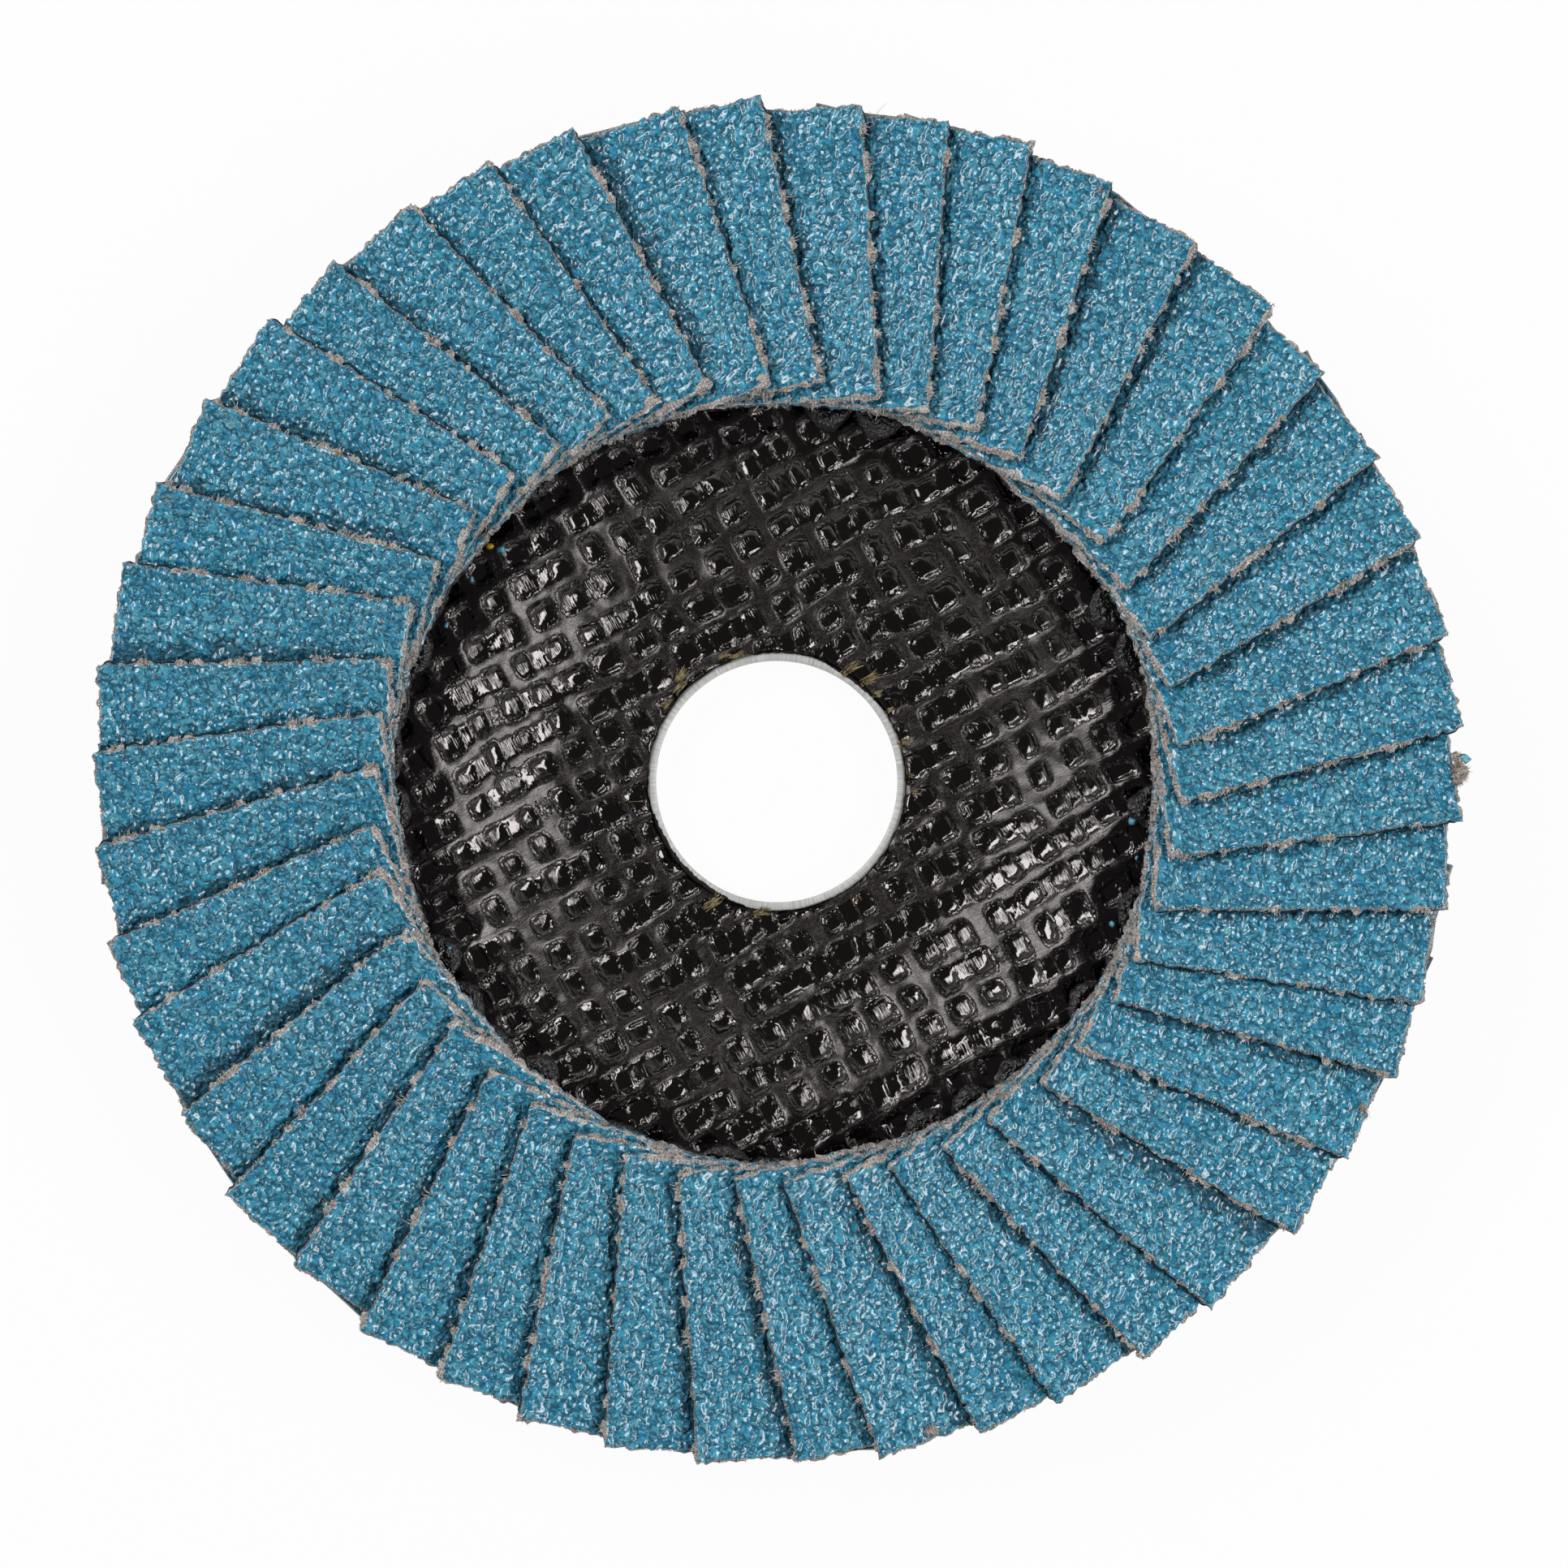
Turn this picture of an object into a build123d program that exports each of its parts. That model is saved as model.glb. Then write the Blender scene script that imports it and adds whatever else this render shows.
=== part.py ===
"""Flap disc for an angle grinder, in millimetres.

Overlapping flaps of coated abrasive cloth stand like roof tiles on a dished
backing plate of resin-bonded glass cloth. A flanged metal ring lines the bore.
The disc lies on its back with the working face up: +Z is the spindle axis, and
the origin is the middle of the ring's flange, the face that meets the grinder.
"""

import os
from math import asin, atan2, degrees, hypot, radians, sqrt, tan

from build123d import *

# Whole disc
disc_diameter = 125.0
bore_diameter = 22.23

# Centre ring, an eyelet of soft metal pressed through the bore
ring_wall = 0.8
ring_flange_width = 4.6
ring_flange_thickness = 0.5
ring_drop = 0.3  # how far the collar stops short of the plate's front face
ring_press = 0.02  # running gap between the collar and the plate's bore
ring_edge_radius = 0.25

# Backing plate, three plies of glass cloth pressed into a dish
ply_names = ("glass_ply_back", "glass_ply_middle", "glass_ply_front")
ply_thickness = 0.85
hub_flat_radius = 20.5  # flat land for the clamp nut
dish_depth = 4.6  # how far the hub lies behind the flap shelf
bend_radius = 7.0
shelf_margin = 3.6  # bare shelf between the dish and the flap roots
flap_overhang = 4.0  # how far the flap tips stand past the plate's rim

# Adhesive between the plate and the flaps
bed_thickness = 0.4
bed_rim_margin = 1.2  # bare plate outside the bed
squeeze_out = 2.4  # how far each bead bulges past its flap's root
fillet_step = 1.0  # how far a ramp of adhesive stops from the flap's buried edge
fillet_clearance = 0.03

# Flaps, identical strips of coated cloth laid round the disc
flap_count = 46
flap_length = 26.7
flap_width = 20.0
flap_thickness = 1.15
flap_clearance = 0.03  # gap between one flap and the next above it
edge_offset = 11.4  # from the flap's radial line to its exposed edge
surface_rows = 9  # grid of points that shapes a flap's twisted face

# Worked out from the values above
bore_radius = bore_diameter / 2
collar_radius = bore_radius + ring_wall
plate_bore_radius = collar_radius + ring_press
plate_thickness = len(ply_names) * ply_thickness
plate_radius = disc_diameter / 2 - flap_overhang
hub_back = ring_flange_thickness
hub_front = hub_back + plate_thickness
shelf_top = hub_front + dish_depth
bed_top = shelf_top + bed_thickness

flap_tip = sqrt((disc_diameter / 2) ** 2 - edge_offset**2)
flap_root = flap_tip - flap_length
buried_reach = flap_width - edge_offset
flap_pitch = 360 / flap_count
flap_climb = (flap_thickness + flap_clearance) / radians(flap_pitch)

shelf_radius = flap_root - shelf_margin
dish_angle = atan2(dish_depth, shelf_radius - hub_flat_radius)
bed_inner_radius = flap_root
bed_outer_radius = plate_radius - bed_rim_margin


def dish_line(height):
    """The dish's profile at a height above the plate's back, from bore to rim.

    Both bends keep one centre through the thickness, so the plies nest.
    """
    shift = height * tan(dish_angle / 2)
    return FilletPolyline(
        (plate_bore_radius, hub_back + height),
        (hub_flat_radius - shift, hub_back + height),
        (shelf_radius - shift, hub_back + dish_depth + height),
        (plate_radius, hub_back + dish_depth + height),
        radius=[bend_radius + plate_thickness - height, bend_radius + height],
    )


def make_ply(level):
    """One ply of the backing plate, a dished ring of even thickness."""
    with BuildPart() as ply:
        with BuildSketch(Plane.XZ):
            with BuildLine():
                lower = dish_line(level * ply_thickness)
                upper = dish_line((level + 1) * ply_thickness)
                Line(lower @ 0, upper @ 0)
                Line(lower @ 1, upper @ 1)
            make_face()
        revolve(axis=Axis.Z)
    ply.part.label = ply_names[level]
    return ply.part


def make_centre_ring():
    """Flanged eyelet: the collar lines the bore and the flange backs the hub."""
    collar_top = hub_front - ring_drop
    flange_radius = bore_radius + ring_flange_width
    with BuildPart() as ring:
        with BuildSketch(Plane.XZ):
            with BuildLine():
                Polyline(
                    (bore_radius, 0),
                    (flange_radius, 0),
                    (flange_radius, ring_flange_thickness),
                    (collar_radius, ring_flange_thickness),
                    (collar_radius, collar_top),
                    (bore_radius, collar_top),
                    close=True,
                )
            make_face()
        revolve(axis=Axis.Z)
        bore_edges = ring.edges().filter_by(GeomType.CIRCLE).group_by(SortBy.RADIUS)[0]
        fillet(bore_edges, ring_edge_radius)
    ring.part.label = "centre_ring"
    return ring.part


def underside_height(x, y):
    """Height of the underside of the flap on the +X line, at a point.

    A flap climbs evenly with the angle towards its exposed edge, by its own
    thickness for each pitch, so every flap nests on the one before. Its buried
    edge lies level on the adhesive.
    """
    buried_angle = asin(buried_reach / hypot(x, y))
    return bed_top + flap_climb * (buried_angle - atan2(y, x))


def make_underside(clearance=0):
    """The twisted lower face of the flap on the +X line."""
    steps = [row / (surface_rows - 1) for row in range(surface_rows)]
    lengths = [flap_root + step * flap_length for step in steps]
    widths = [step * flap_width - edge_offset for step in steps]
    grid = [
        [Vector(x, y, underside_height(x, y) - clearance) for y in widths]
        for x in lengths
    ]
    return Face.make_surface_from_array_of_points(grid, tol=0.001)


def make_flap():
    """One flap: the twisted face, thickened straight up."""
    with BuildPart() as flap:
        extrude(make_underside(), amount=flap_thickness, dir=(0, 0, 1))
    return flap.part


def make_adhesive_bed():
    """The level bed, scalloped where each bead bulges past its flap's root."""
    bulge_radius = bed_inner_radius * radians(flap_pitch) / 2
    bulge_circle = bed_inner_radius + bulge_radius - squeeze_out
    with BuildPart() as bed:
        with BuildSketch(Plane.XY.offset(shelf_top)):
            Circle(bed_outer_radius)
            Circle(bed_inner_radius, mode=Mode.SUBTRACT)
            with PolarLocations(bulge_circle, flap_count):
                Circle(bulge_radius)
        extrude(amount=bed_thickness)
    bed.part.label = "adhesive_bed"
    return bed.part


def make_adhesive_ramps():
    """The ramps of adhesive that fill the wedge under each flap.

    A ramp stands between a flap's underside, the bed and the buried edge of
    the flap before it. It reaches from the flap's root to the bed's rim.
    """
    near = buried_reach - fillet_step
    far_root = Vector(flap_root, buried_reach).rotate(Axis.Z, -flap_pitch)
    reach = sqrt(bed_outer_radius**2 - buried_reach**2)
    far_tip = Vector(reach, buried_reach).rotate(Axis.Z, -flap_pitch)
    side = Vector(0, fillet_clearance)
    with BuildPart() as ramp:
        with BuildSketch(Plane.XY.offset(bed_top)):
            with BuildLine():
                Polyline(
                    (flap_root + fillet_clearance, near),
                    (reach, near),
                    far_tip + side,
                    far_root + side,
                    close=True,
                )
            make_face()
        extrude(amount=flap_thickness + flap_clearance)
        extrude(
            make_underside(fillet_clearance),
            amount=2 * flap_thickness,
            dir=(0, 0, 1),
            mode=Mode.SUBTRACT,
        )
    with BuildPart() as ramps:
        with PolarLocations(0, flap_count):
            add(ramp.part)
    ramps.part.label = "adhesive_ramps"
    return ramps.part


def main():
    """Builds every piece and writes one STEP file for each."""
    pieces = [make_ply(level) for level in range(len(ply_names))]
    pieces += [make_centre_ring(), make_adhesive_bed(), make_adhesive_ramps()]

    first_flap = make_flap()
    for index in range(flap_count):
        with BuildPart() as flap:
            with PolarLocations(0, 1, start_angle=index * flap_pitch):
                add(first_flap)
        flap.part.label = f"flap_{index + 1:02d}"
        pieces.append(flap.part)

    os.makedirs("parts", exist_ok=True)
    for piece in pieces:
        export_step(piece, f"parts/{piece.label}.step")

    print("dish angle", round(degrees(dish_angle), 1))
    print("flap roots at", round(flap_root, 2), "shelf from", round(shelf_radius, 2))


main()
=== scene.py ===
"""Dresses a flap disc for an angle grinder: coated cloth flaps on a glass-cloth plate.

All lengths are in metres. The disc lies on its back with the working face up (+Z),
its axis on the origin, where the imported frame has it.
"""

import bpy
import numpy as np
from bpy.props import FloatProperty, FloatVectorProperty, IntProperty, PointerProperty
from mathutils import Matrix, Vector


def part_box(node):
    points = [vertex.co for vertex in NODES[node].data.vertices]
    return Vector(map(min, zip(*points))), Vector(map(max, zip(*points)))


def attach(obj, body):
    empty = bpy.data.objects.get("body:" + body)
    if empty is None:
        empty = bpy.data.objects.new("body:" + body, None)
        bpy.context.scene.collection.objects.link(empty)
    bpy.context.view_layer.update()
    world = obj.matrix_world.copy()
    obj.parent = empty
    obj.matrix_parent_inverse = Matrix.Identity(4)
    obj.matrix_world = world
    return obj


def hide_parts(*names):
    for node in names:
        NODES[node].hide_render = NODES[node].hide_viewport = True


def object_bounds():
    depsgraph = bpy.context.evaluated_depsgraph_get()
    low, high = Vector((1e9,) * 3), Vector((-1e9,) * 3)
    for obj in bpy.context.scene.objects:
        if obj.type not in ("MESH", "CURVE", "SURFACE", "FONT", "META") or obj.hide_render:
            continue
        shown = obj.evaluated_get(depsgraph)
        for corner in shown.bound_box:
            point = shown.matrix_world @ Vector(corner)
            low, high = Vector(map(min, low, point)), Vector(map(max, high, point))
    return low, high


bl_info = {
    "name": "Flap disc",
    "version": (1, 0, 0),
    "blender": (4, 5, 0),
    "location": "View3D > Sidebar > Flap disc",
    "description": "Builds the grain, cloth, glass mesh and metal of a grinder's flap disc",
    "category": "Object",
}

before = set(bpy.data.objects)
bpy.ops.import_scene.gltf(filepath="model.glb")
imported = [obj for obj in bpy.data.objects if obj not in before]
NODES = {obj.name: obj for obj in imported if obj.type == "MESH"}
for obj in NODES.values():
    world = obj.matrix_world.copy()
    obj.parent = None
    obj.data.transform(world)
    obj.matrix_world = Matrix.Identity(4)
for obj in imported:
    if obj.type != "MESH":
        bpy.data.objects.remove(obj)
CAD_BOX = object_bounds()

MM = 0.001
MICRON = 0.000001

FLAP_NODES = sorted(name for name in NODES if name.startswith("flap_"))
FLAP_LOW, FLAP_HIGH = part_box("flap_01")
BED_LOW, BED_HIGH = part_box("adhesive_bed")
RING_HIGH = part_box("centre_ring")[1]


# --- Seeded noise, worked out as whole arrays ---------------------------------

PLACE_FACTORS = (374761393, 668265263)
SEED_FACTOR, SEED_START = 2246822519, 3266489917
MIXING_ROUNDS = ((13, 1274126177), (16, 2654435761), (15, 1))  # bits to shift by, then a factor


def hash01(ix, iy, seed):
    """A repeatable number from 0 to 1 for each pair of whole numbers, from sums that wrap at 32 bits."""
    ix, iy = (np.asarray(whole).astype(np.int64).astype(np.uint32) for whole in (ix, iy))
    with np.errstate(over="ignore"):
        mixed = ix * np.uint32(PLACE_FACTORS[0]) + iy * np.uint32(PLACE_FACTORS[1])
        mixed = mixed + np.uint32((seed * SEED_FACTOR + SEED_START) % 2**32)
        for shift, factor in MIXING_ROUNDS:
            mixed = (mixed ^ (mixed >> np.uint32(shift))) * np.uint32(factor)
    return mixed.astype(np.float64) / 2**32


def smoothstep(low, high, value):
    """0 below low, 1 above high, and an S-curve between them."""
    t = np.clip((value - low) / (high - low), 0, 1)
    return t * t * (3 - 2 * t)


def noise(x, y, seed):
    """Smooth noise from 0 to 1: lattice values blended along S-curves."""
    x, y = np.broadcast_arrays(np.asarray(x, float), np.asarray(y, float))
    ix, iy = np.floor(x), np.floor(y)
    fx, fy = smoothstep(0, 1, x - ix), smoothstep(0, 1, y - iy)
    near = hash01(ix, iy, seed) * (1 - fx) + hash01(ix + 1, iy, seed) * fx
    far = hash01(ix, iy + 1, seed) * (1 - fx) + hash01(ix + 1, iy + 1, seed) * fx
    return near * (1 - fy) + far * fy


def domes(x, y, seed):
    """Packed grains from 0 to about 1: the soft highest of one dome for each unit cell.

    A dome falls with the square of the distance from its jittered middle, and each
    has its own height, width and tilt.
    """
    ix, iy = np.floor(x), np.floor(y)
    sharpness = 7.0
    total = np.zeros_like(x)
    for dx, dy in np.ndindex(3, 3):
        cx, cy = ix + dx - 1, iy + dy - 1
        draw = [hash01(cx, cy, seed + number) for number in range(6)]
        off_x, off_y = x - cx - 0.15 - 0.7 * draw[0], y - cy - 0.15 - 0.7 * draw[1]
        height, narrow = 0.45 + 0.55 * draw[2], 0.9 + 1.1 * draw[3]
        tilt = (draw[4] - 0.5) * off_x + (draw[5] - 0.5) * off_y
        total += np.exp(sharpness * (height + tilt - narrow * (off_x**2 + off_y**2)))
    return np.log(total) / sharpness


# --- Meshes ----------------------------------------------------------------------


def toward(angle):
    """The flat unit vector at an angle."""
    return np.array([np.cos(angle), np.sin(angle)])


def even_angles(count):
    """Evenly spaced angles once round the axis."""
    return np.linspace(0, 2 * np.pi, count, endpoint=False)


def turned_points(r, angle, z):
    """Points at radii r and heights z, turned by angles round the axis."""
    r, angle, z = np.broadcast_arrays(r, angle, z)
    return np.stack([r * np.cos(angle), r * np.sin(angle), z], axis=-1)


def grid_faces(rows, columns, wrap_rows=False, wrap_columns=False):
    """Quads of a grid of points numbered row by row, as an array of four columns."""
    row, column = np.indices((rows - (not wrap_rows), columns - (not wrap_columns)))
    above, beside = (row + 1) % rows, (column + 1) % columns
    corners = ((row, column), (row, beside), (above, beside), (above, column))
    return np.stack([(at_row * columns + at_column).ravel() for at_row, at_column in corners], axis=1)


def make_mesh(name, points, quads, triangles=(), sharp_angle=None):
    """A mesh from an array of points and arrays of quads and triangles, shaded smooth."""
    points = np.asarray(points, np.float32).reshape(-1, 3)
    corners = np.concatenate([np.ravel(quads), np.ravel(triangles)]).astype(np.int32)
    totals = np.repeat([4, 3], [len(quads), len(triangles)])
    mesh = bpy.data.meshes.new(name)
    mesh.vertices.add(len(points))
    mesh.vertices.foreach_set("co", points.ravel())
    mesh.loops.add(len(corners))
    mesh.loops.foreach_set("vertex_index", corners)
    mesh.polygons.add(len(totals))
    mesh.polygons.foreach_set("loop_start", (np.cumsum(totals) - totals).astype(np.int32))
    mesh.polygons.foreach_set("use_smooth", np.ones(len(totals), bool))
    mesh.update(calc_edges=True)
    mesh.validate()
    if sharp_angle is not None:
        mesh.set_sharp_from_angle(angle=sharp_angle)
    return mesh


def turned_mesh(name, r, angle, z, sharp_angle, side=1):
    """A closed line of radii and heights carried round the axis; it climbs the bore if side is 1."""
    quads = grid_faces(*r.shape, wrap_rows=True, wrap_columns=True)[:, ::-side]
    return make_mesh(name, turned_points(r, angle, z), quads, sharp_angle=sharp_angle)


def read_values(items, name, width=1, kind=np.float32):
    """A property of a mesh's vertices, loops or polygons, one row for each."""
    values = np.empty(len(items) * width, kind)
    items.foreach_get(name, values)
    return values.reshape(-1, width)


def set_attribute(mesh, name, values):
    """Stores one number for each vertex under a name that the materials read."""
    layer = mesh.attributes.new(name, "FLOAT", "POINT")
    layer.data.foreach_set("value", np.asarray(values, np.float32).ravel())


def set_uv(mesh, name, u, v):
    """Stores a pair of surface coordinates, given for each vertex, as a UV map."""
    layer = mesh.uv_layers.new(name=name)
    vertex = read_values(mesh.loops, "vertex_index", kind=np.int32)
    pairs = np.stack([np.ravel(u), np.ravel(v)], axis=1)[vertex]
    layer.data.foreach_set("uv", pairs.astype(np.float32).ravel())


def face_profile(node, side):
    """Radii and heights of a turned node's upper (side 1) or lower (side -1) face, from axis to rim."""
    mesh = NODES[node].data
    points = read_values(mesh.vertices, "co", 3).astype(float)
    facing = read_values(mesh.polygons, "normal", 3)[:, 2] * side > 0.5
    corners = read_values(mesh.polygons, "loop_start", kind=np.int32)[facing] + np.arange(3)
    used = np.unique(read_values(mesh.loops, "vertex_index", kind=np.int32)[corners])
    radii = np.round(np.hypot(points[used, 0], points[used, 1]), 6)
    radii, first = np.unique(radii, return_index=True)
    return radii, points[used, 2][first]


def add_piece(name, mesh, material, slot, *replaced):
    """Links a mesh as a piece that rides on the disc's body and stands for CAD nodes."""
    piece = bpy.data.objects.new(name, mesh)
    bpy.context.scene.collection.objects.link(piece)
    mesh.materials.append(material)
    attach(piece, "root")
    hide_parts(*replaced)
    return piece


def finish_node(name, material):
    """Gives a CAD node that stays in view its material."""
    NODES[name].data.materials.clear()
    NODES[name].data.materials.append(material)


# --- Shader nodes ----------------------------------------------------------------

MIDDLE_GREY = (0.5, 0.5, 0.5)


class Nodes:
    """Short ways to add nodes to a tree. A value is a constant or another node's output."""

    def __init__(self, tree):
        self.tree = tree

    def fill(self, node, inputs):
        """Sets a node's inputs, or links them."""
        for key, value in inputs.items():
            if isinstance(value, bpy.types.NodeSocket):
                self.tree.links.new(value, node.inputs[key])
            else:
                node.inputs[key].default_value = value

    def add(self, kind, inputs=None, **options):
        """The outputs of a new node with its options and inputs set."""
        node = self.tree.nodes.new(kind)
        for option, value in options.items():
            setattr(node, option, value)
        self.fill(node, inputs or {})
        return node.outputs

    def group(self, name, build, inputs):
        """The outputs of a node group that several materials may place; it is built once."""
        group = bpy.data.node_groups.get(name) or build(name)
        return self.add("ShaderNodeGroup", inputs, node_tree=group)

    def math(self, operation, *values):
        """The output of a Math node on one to three values."""
        return self.add("ShaderNodeMath", dict(enumerate(values)), operation=operation)[0]

    def plus(self, base, pattern, share):
        """A base with a share of a pattern added."""
        return self.math("MULTIPLY_ADD", pattern, share, base)

    def jitter(self, base, pattern, share):
        """A base moved both ways by a share of a pattern that runs from 0 to 1."""
        return self.plus(base, self.math("SUBTRACT", pattern, 0.5), share)

    def vector(self, operation, *values, **scale):
        """The output of a Vector Math node: a number for a length or a dot product, else a vector."""
        outputs = self.add("ShaderNodeVectorMath", {**dict(enumerate(values)), **scale}, operation=operation)
        return outputs["Value" if operation in ("DOT_PRODUCT", "LENGTH") else "Vector"]

    def axes(self, vector):
        """A vector's parts, named X, Y and Z."""
        return self.add("ShaderNodeSeparateXYZ", {"Vector": vector})

    def remap(self, value, low, high, to_low=0.0, to_high=1.0):
        """A value taken from one range to another along an S-curve, held at its ends."""
        inputs = {"Value": value, "From Min": low, "From Max": high, "To Min": to_low, "To Max": to_high}
        return self.add("ShaderNodeMapRange", inputs, interpolation_type="SMOOTHSTEP")["Result"]

    def mix(self, share, first, second):
        """A number between two others."""
        return self.add("ShaderNodeMix", {"Factor": share, "A": first, "B": second}, data_type="FLOAT")[0]

    def blend(self, share, first, second):
        """A colour between two others, which are inputs 6 and 7 and output 2 of a Mix node."""
        inputs = {0: share, 6: first, 7: second}
        for key in (6, 7):
            if not isinstance(inputs[key], bpy.types.NodeSocket):
                inputs[key] = (*inputs[key], 1)
        return self.add("ShaderNodeMix", inputs, data_type="RGBA")[2]

    def noise(self, vector, scale, detail=2.0, roughness=0.5, output="Fac"):
        """The height or colour of a Noise texture."""
        inputs = {"Vector": vector, "Scale": scale, "Detail": detail, "Roughness": roughness}
        return self.add("ShaderNodeTexNoise", inputs)[output]

    def cells(self, vector, scale, **options):
        """The outputs of a flat Voronoi texture."""
        inputs = {"Vector": vector, "Scale": scale}
        return self.add("ShaderNodeTexVoronoi", inputs, voronoi_dimensions="2D", **options)

    def cell_lean(self, vector, cell):
        """A direction of each cell's own, and the way there from the cell's middle."""
        lean = self.vector("SUBTRACT", cell["Color"], MIDDLE_GREY)
        return lean, self.vector("SUBTRACT", vector, cell["Position"])

    def place(self):
        """The object's own coordinates, in metres."""
        return self.add("ShaderNodeTexCoord")["Object"]

    def uv(self, name, *scale):
        """A UV map's coordinates, each times its scale where one is given."""
        pair = self.add("ShaderNodeUVMap", uv_map=name)["UV"]
        if not scale:
            return pair
        return self.add("ShaderNodeMapping", {"Vector": pair, "Scale": (*scale, 1)})["Vector"]

    def attribute(self, name):
        """A number stored on the mesh's vertices."""
        return self.add("ShaderNodeAttribute", attribute_name=name)["Fac"]

    def bump(self, height, distance, strength=1.0):
        """The normal of a surface that has a height."""
        inputs = {"Height": height, "Distance": distance, "Strength": strength}
        return self.add("ShaderNodeBump", inputs)["Normal"]


def new_material(name, **constants):
    """A material, its Nodes, and its Principled shader with constants in the named sockets."""
    material = bpy.data.materials.new(name)
    material.use_nodes = True
    shader = material.node_tree.nodes["Principled BSDF"]
    for socket, value in constants.items():
        shader.inputs[socket.replace("_", " ")].default_value = value
    return material, Nodes(material.node_tree), shader


def new_group(name, inputs, outputs):
    """An empty node group: its Nodes, what it is given, and its output node."""
    group = bpy.data.node_groups.new(name, "ShaderNodeTree")
    for in_out, sockets in (("INPUT", inputs), ("OUTPUT", outputs)):
        for socket, kind in sockets.items():
            group.interface.new_socket(socket, in_out=in_out, socket_type="NodeSocket" + kind)
    return Nodes(group), group.nodes.new("NodeGroupInput").outputs, group.nodes.new("NodeGroupOutput")


def packed_grains(name):
    """Flat-topped grains with rounded flanks: two sizes of Voronoi cells, bent, over a smooth swell.

    Height rises from a cell's border by an S-curve, and here and there resin fills the cracks between grains.
    The crescent output is a painted highlight: a soft crescent inside each cell's border, on a side of its
    own. Choice is one number for each large cell.
    """
    outputs = dict.fromkeys(("Height", "Valley", "Glint", "Choice"), "Float")
    nodes, given, result = new_group(name, {"Vector": "Vector", "Scale": "Float"}, outputs)
    large, small = 1.0, 1.9
    scaled = nodes.vector("SCALE", given["Vector"], Scale=given["Scale"])
    bend = nodes.vector("SUBTRACT", nodes.noise(scaled, 0.9, 1.0, output="Color"), MIDDLE_GREY)
    bent = nodes.vector("ADD", scaled, nodes.vector("SCALE", bend, Scale=0.9))
    edge = {}
    for scale in (large, small):
        edge[scale] = nodes.cells(bent, scale, feature="DISTANCE_TO_EDGE")["Distance"]
    filled = nodes.remap(nodes.noise(scaled, 0.9, 1.0), 0.44, 0.6, 0.0, 0.8)
    big_grain = nodes.math("MAXIMUM", nodes.remap(edge[large], 0.0, 0.42), filled)
    small_grain = nodes.remap(edge[small], 0.0, 0.45)
    height = nodes.plus(nodes.math("MULTIPLY", big_grain, 0.55), small_grain, 0.2)
    deep = nodes.math("MULTIPLY", big_grain, nodes.plus(0.6, small_grain, 0.4))

    # Painted highlight: a pale crescent on one side of each grain, for the glints of the coat.
    arcs = []
    for scale, inside in ((small, 0.24), (large, 0.22)):
        cell = nodes.cells(bent, scale)
        ends = [nodes.vector("NORMALIZE", way) for way in nodes.cell_lean(bent, cell)]
        facing = nodes.remap(nodes.vector("DOT_PRODUCT", *ends), 0.1, 0.7)
        off = nodes.math("ABSOLUTE", nodes.math("SUBTRACT", edge[scale], inside))
        arcs.append(nodes.math("MULTIPLY", nodes.remap(off, 0.0, 0.14, 1.0, 0.0), facing))
    results = {
        "Height": nodes.plus(height, nodes.noise(bent, 2.0, 0.0), 1.6),
        "Valley": nodes.math("SUBTRACT", 1.0, deep),
        "Glint": nodes.math("MAXIMUM", *arcs),
        "Choice": nodes.add("ShaderNodeSeparateColor", {"Color": cell["Color"]})["Red"],
    }
    nodes.fill(result, results)
    return nodes.tree


def woven_cloth(name):
    """Plain weave from coordinates counted in threads: over-and-under domes and loose fibres."""
    outputs = dict.fromkeys(("Height", "Shade"), "Float")
    nodes, given, result = new_group(name, {"Threads": "Vector", "Fibres": "Float"}, outputs)
    fuzz = nodes.noise(given["Threads"], 0.8, 3.0, output="Color")
    axes = nodes.axes(nodes.vector("ADD", fuzz, given["Threads"]))
    waves = [nodes.math("SINE", nodes.math("MULTIPLY", axes[axis], np.pi)) for axis in "XY"]
    over = nodes.math("ABSOLUTE", nodes.math("MULTIPLY", *waves))
    height = nodes.plus(nodes.noise(given["Threads"], given["Fibres"], 4.0, 0.75), over, 0.07)
    nodes.fill(result, {"Height": height, "Shade": nodes.remap(height, 0.41, 0.58)})
    return nodes.tree


# --- Materials -------------------------------------------------------------------


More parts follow.
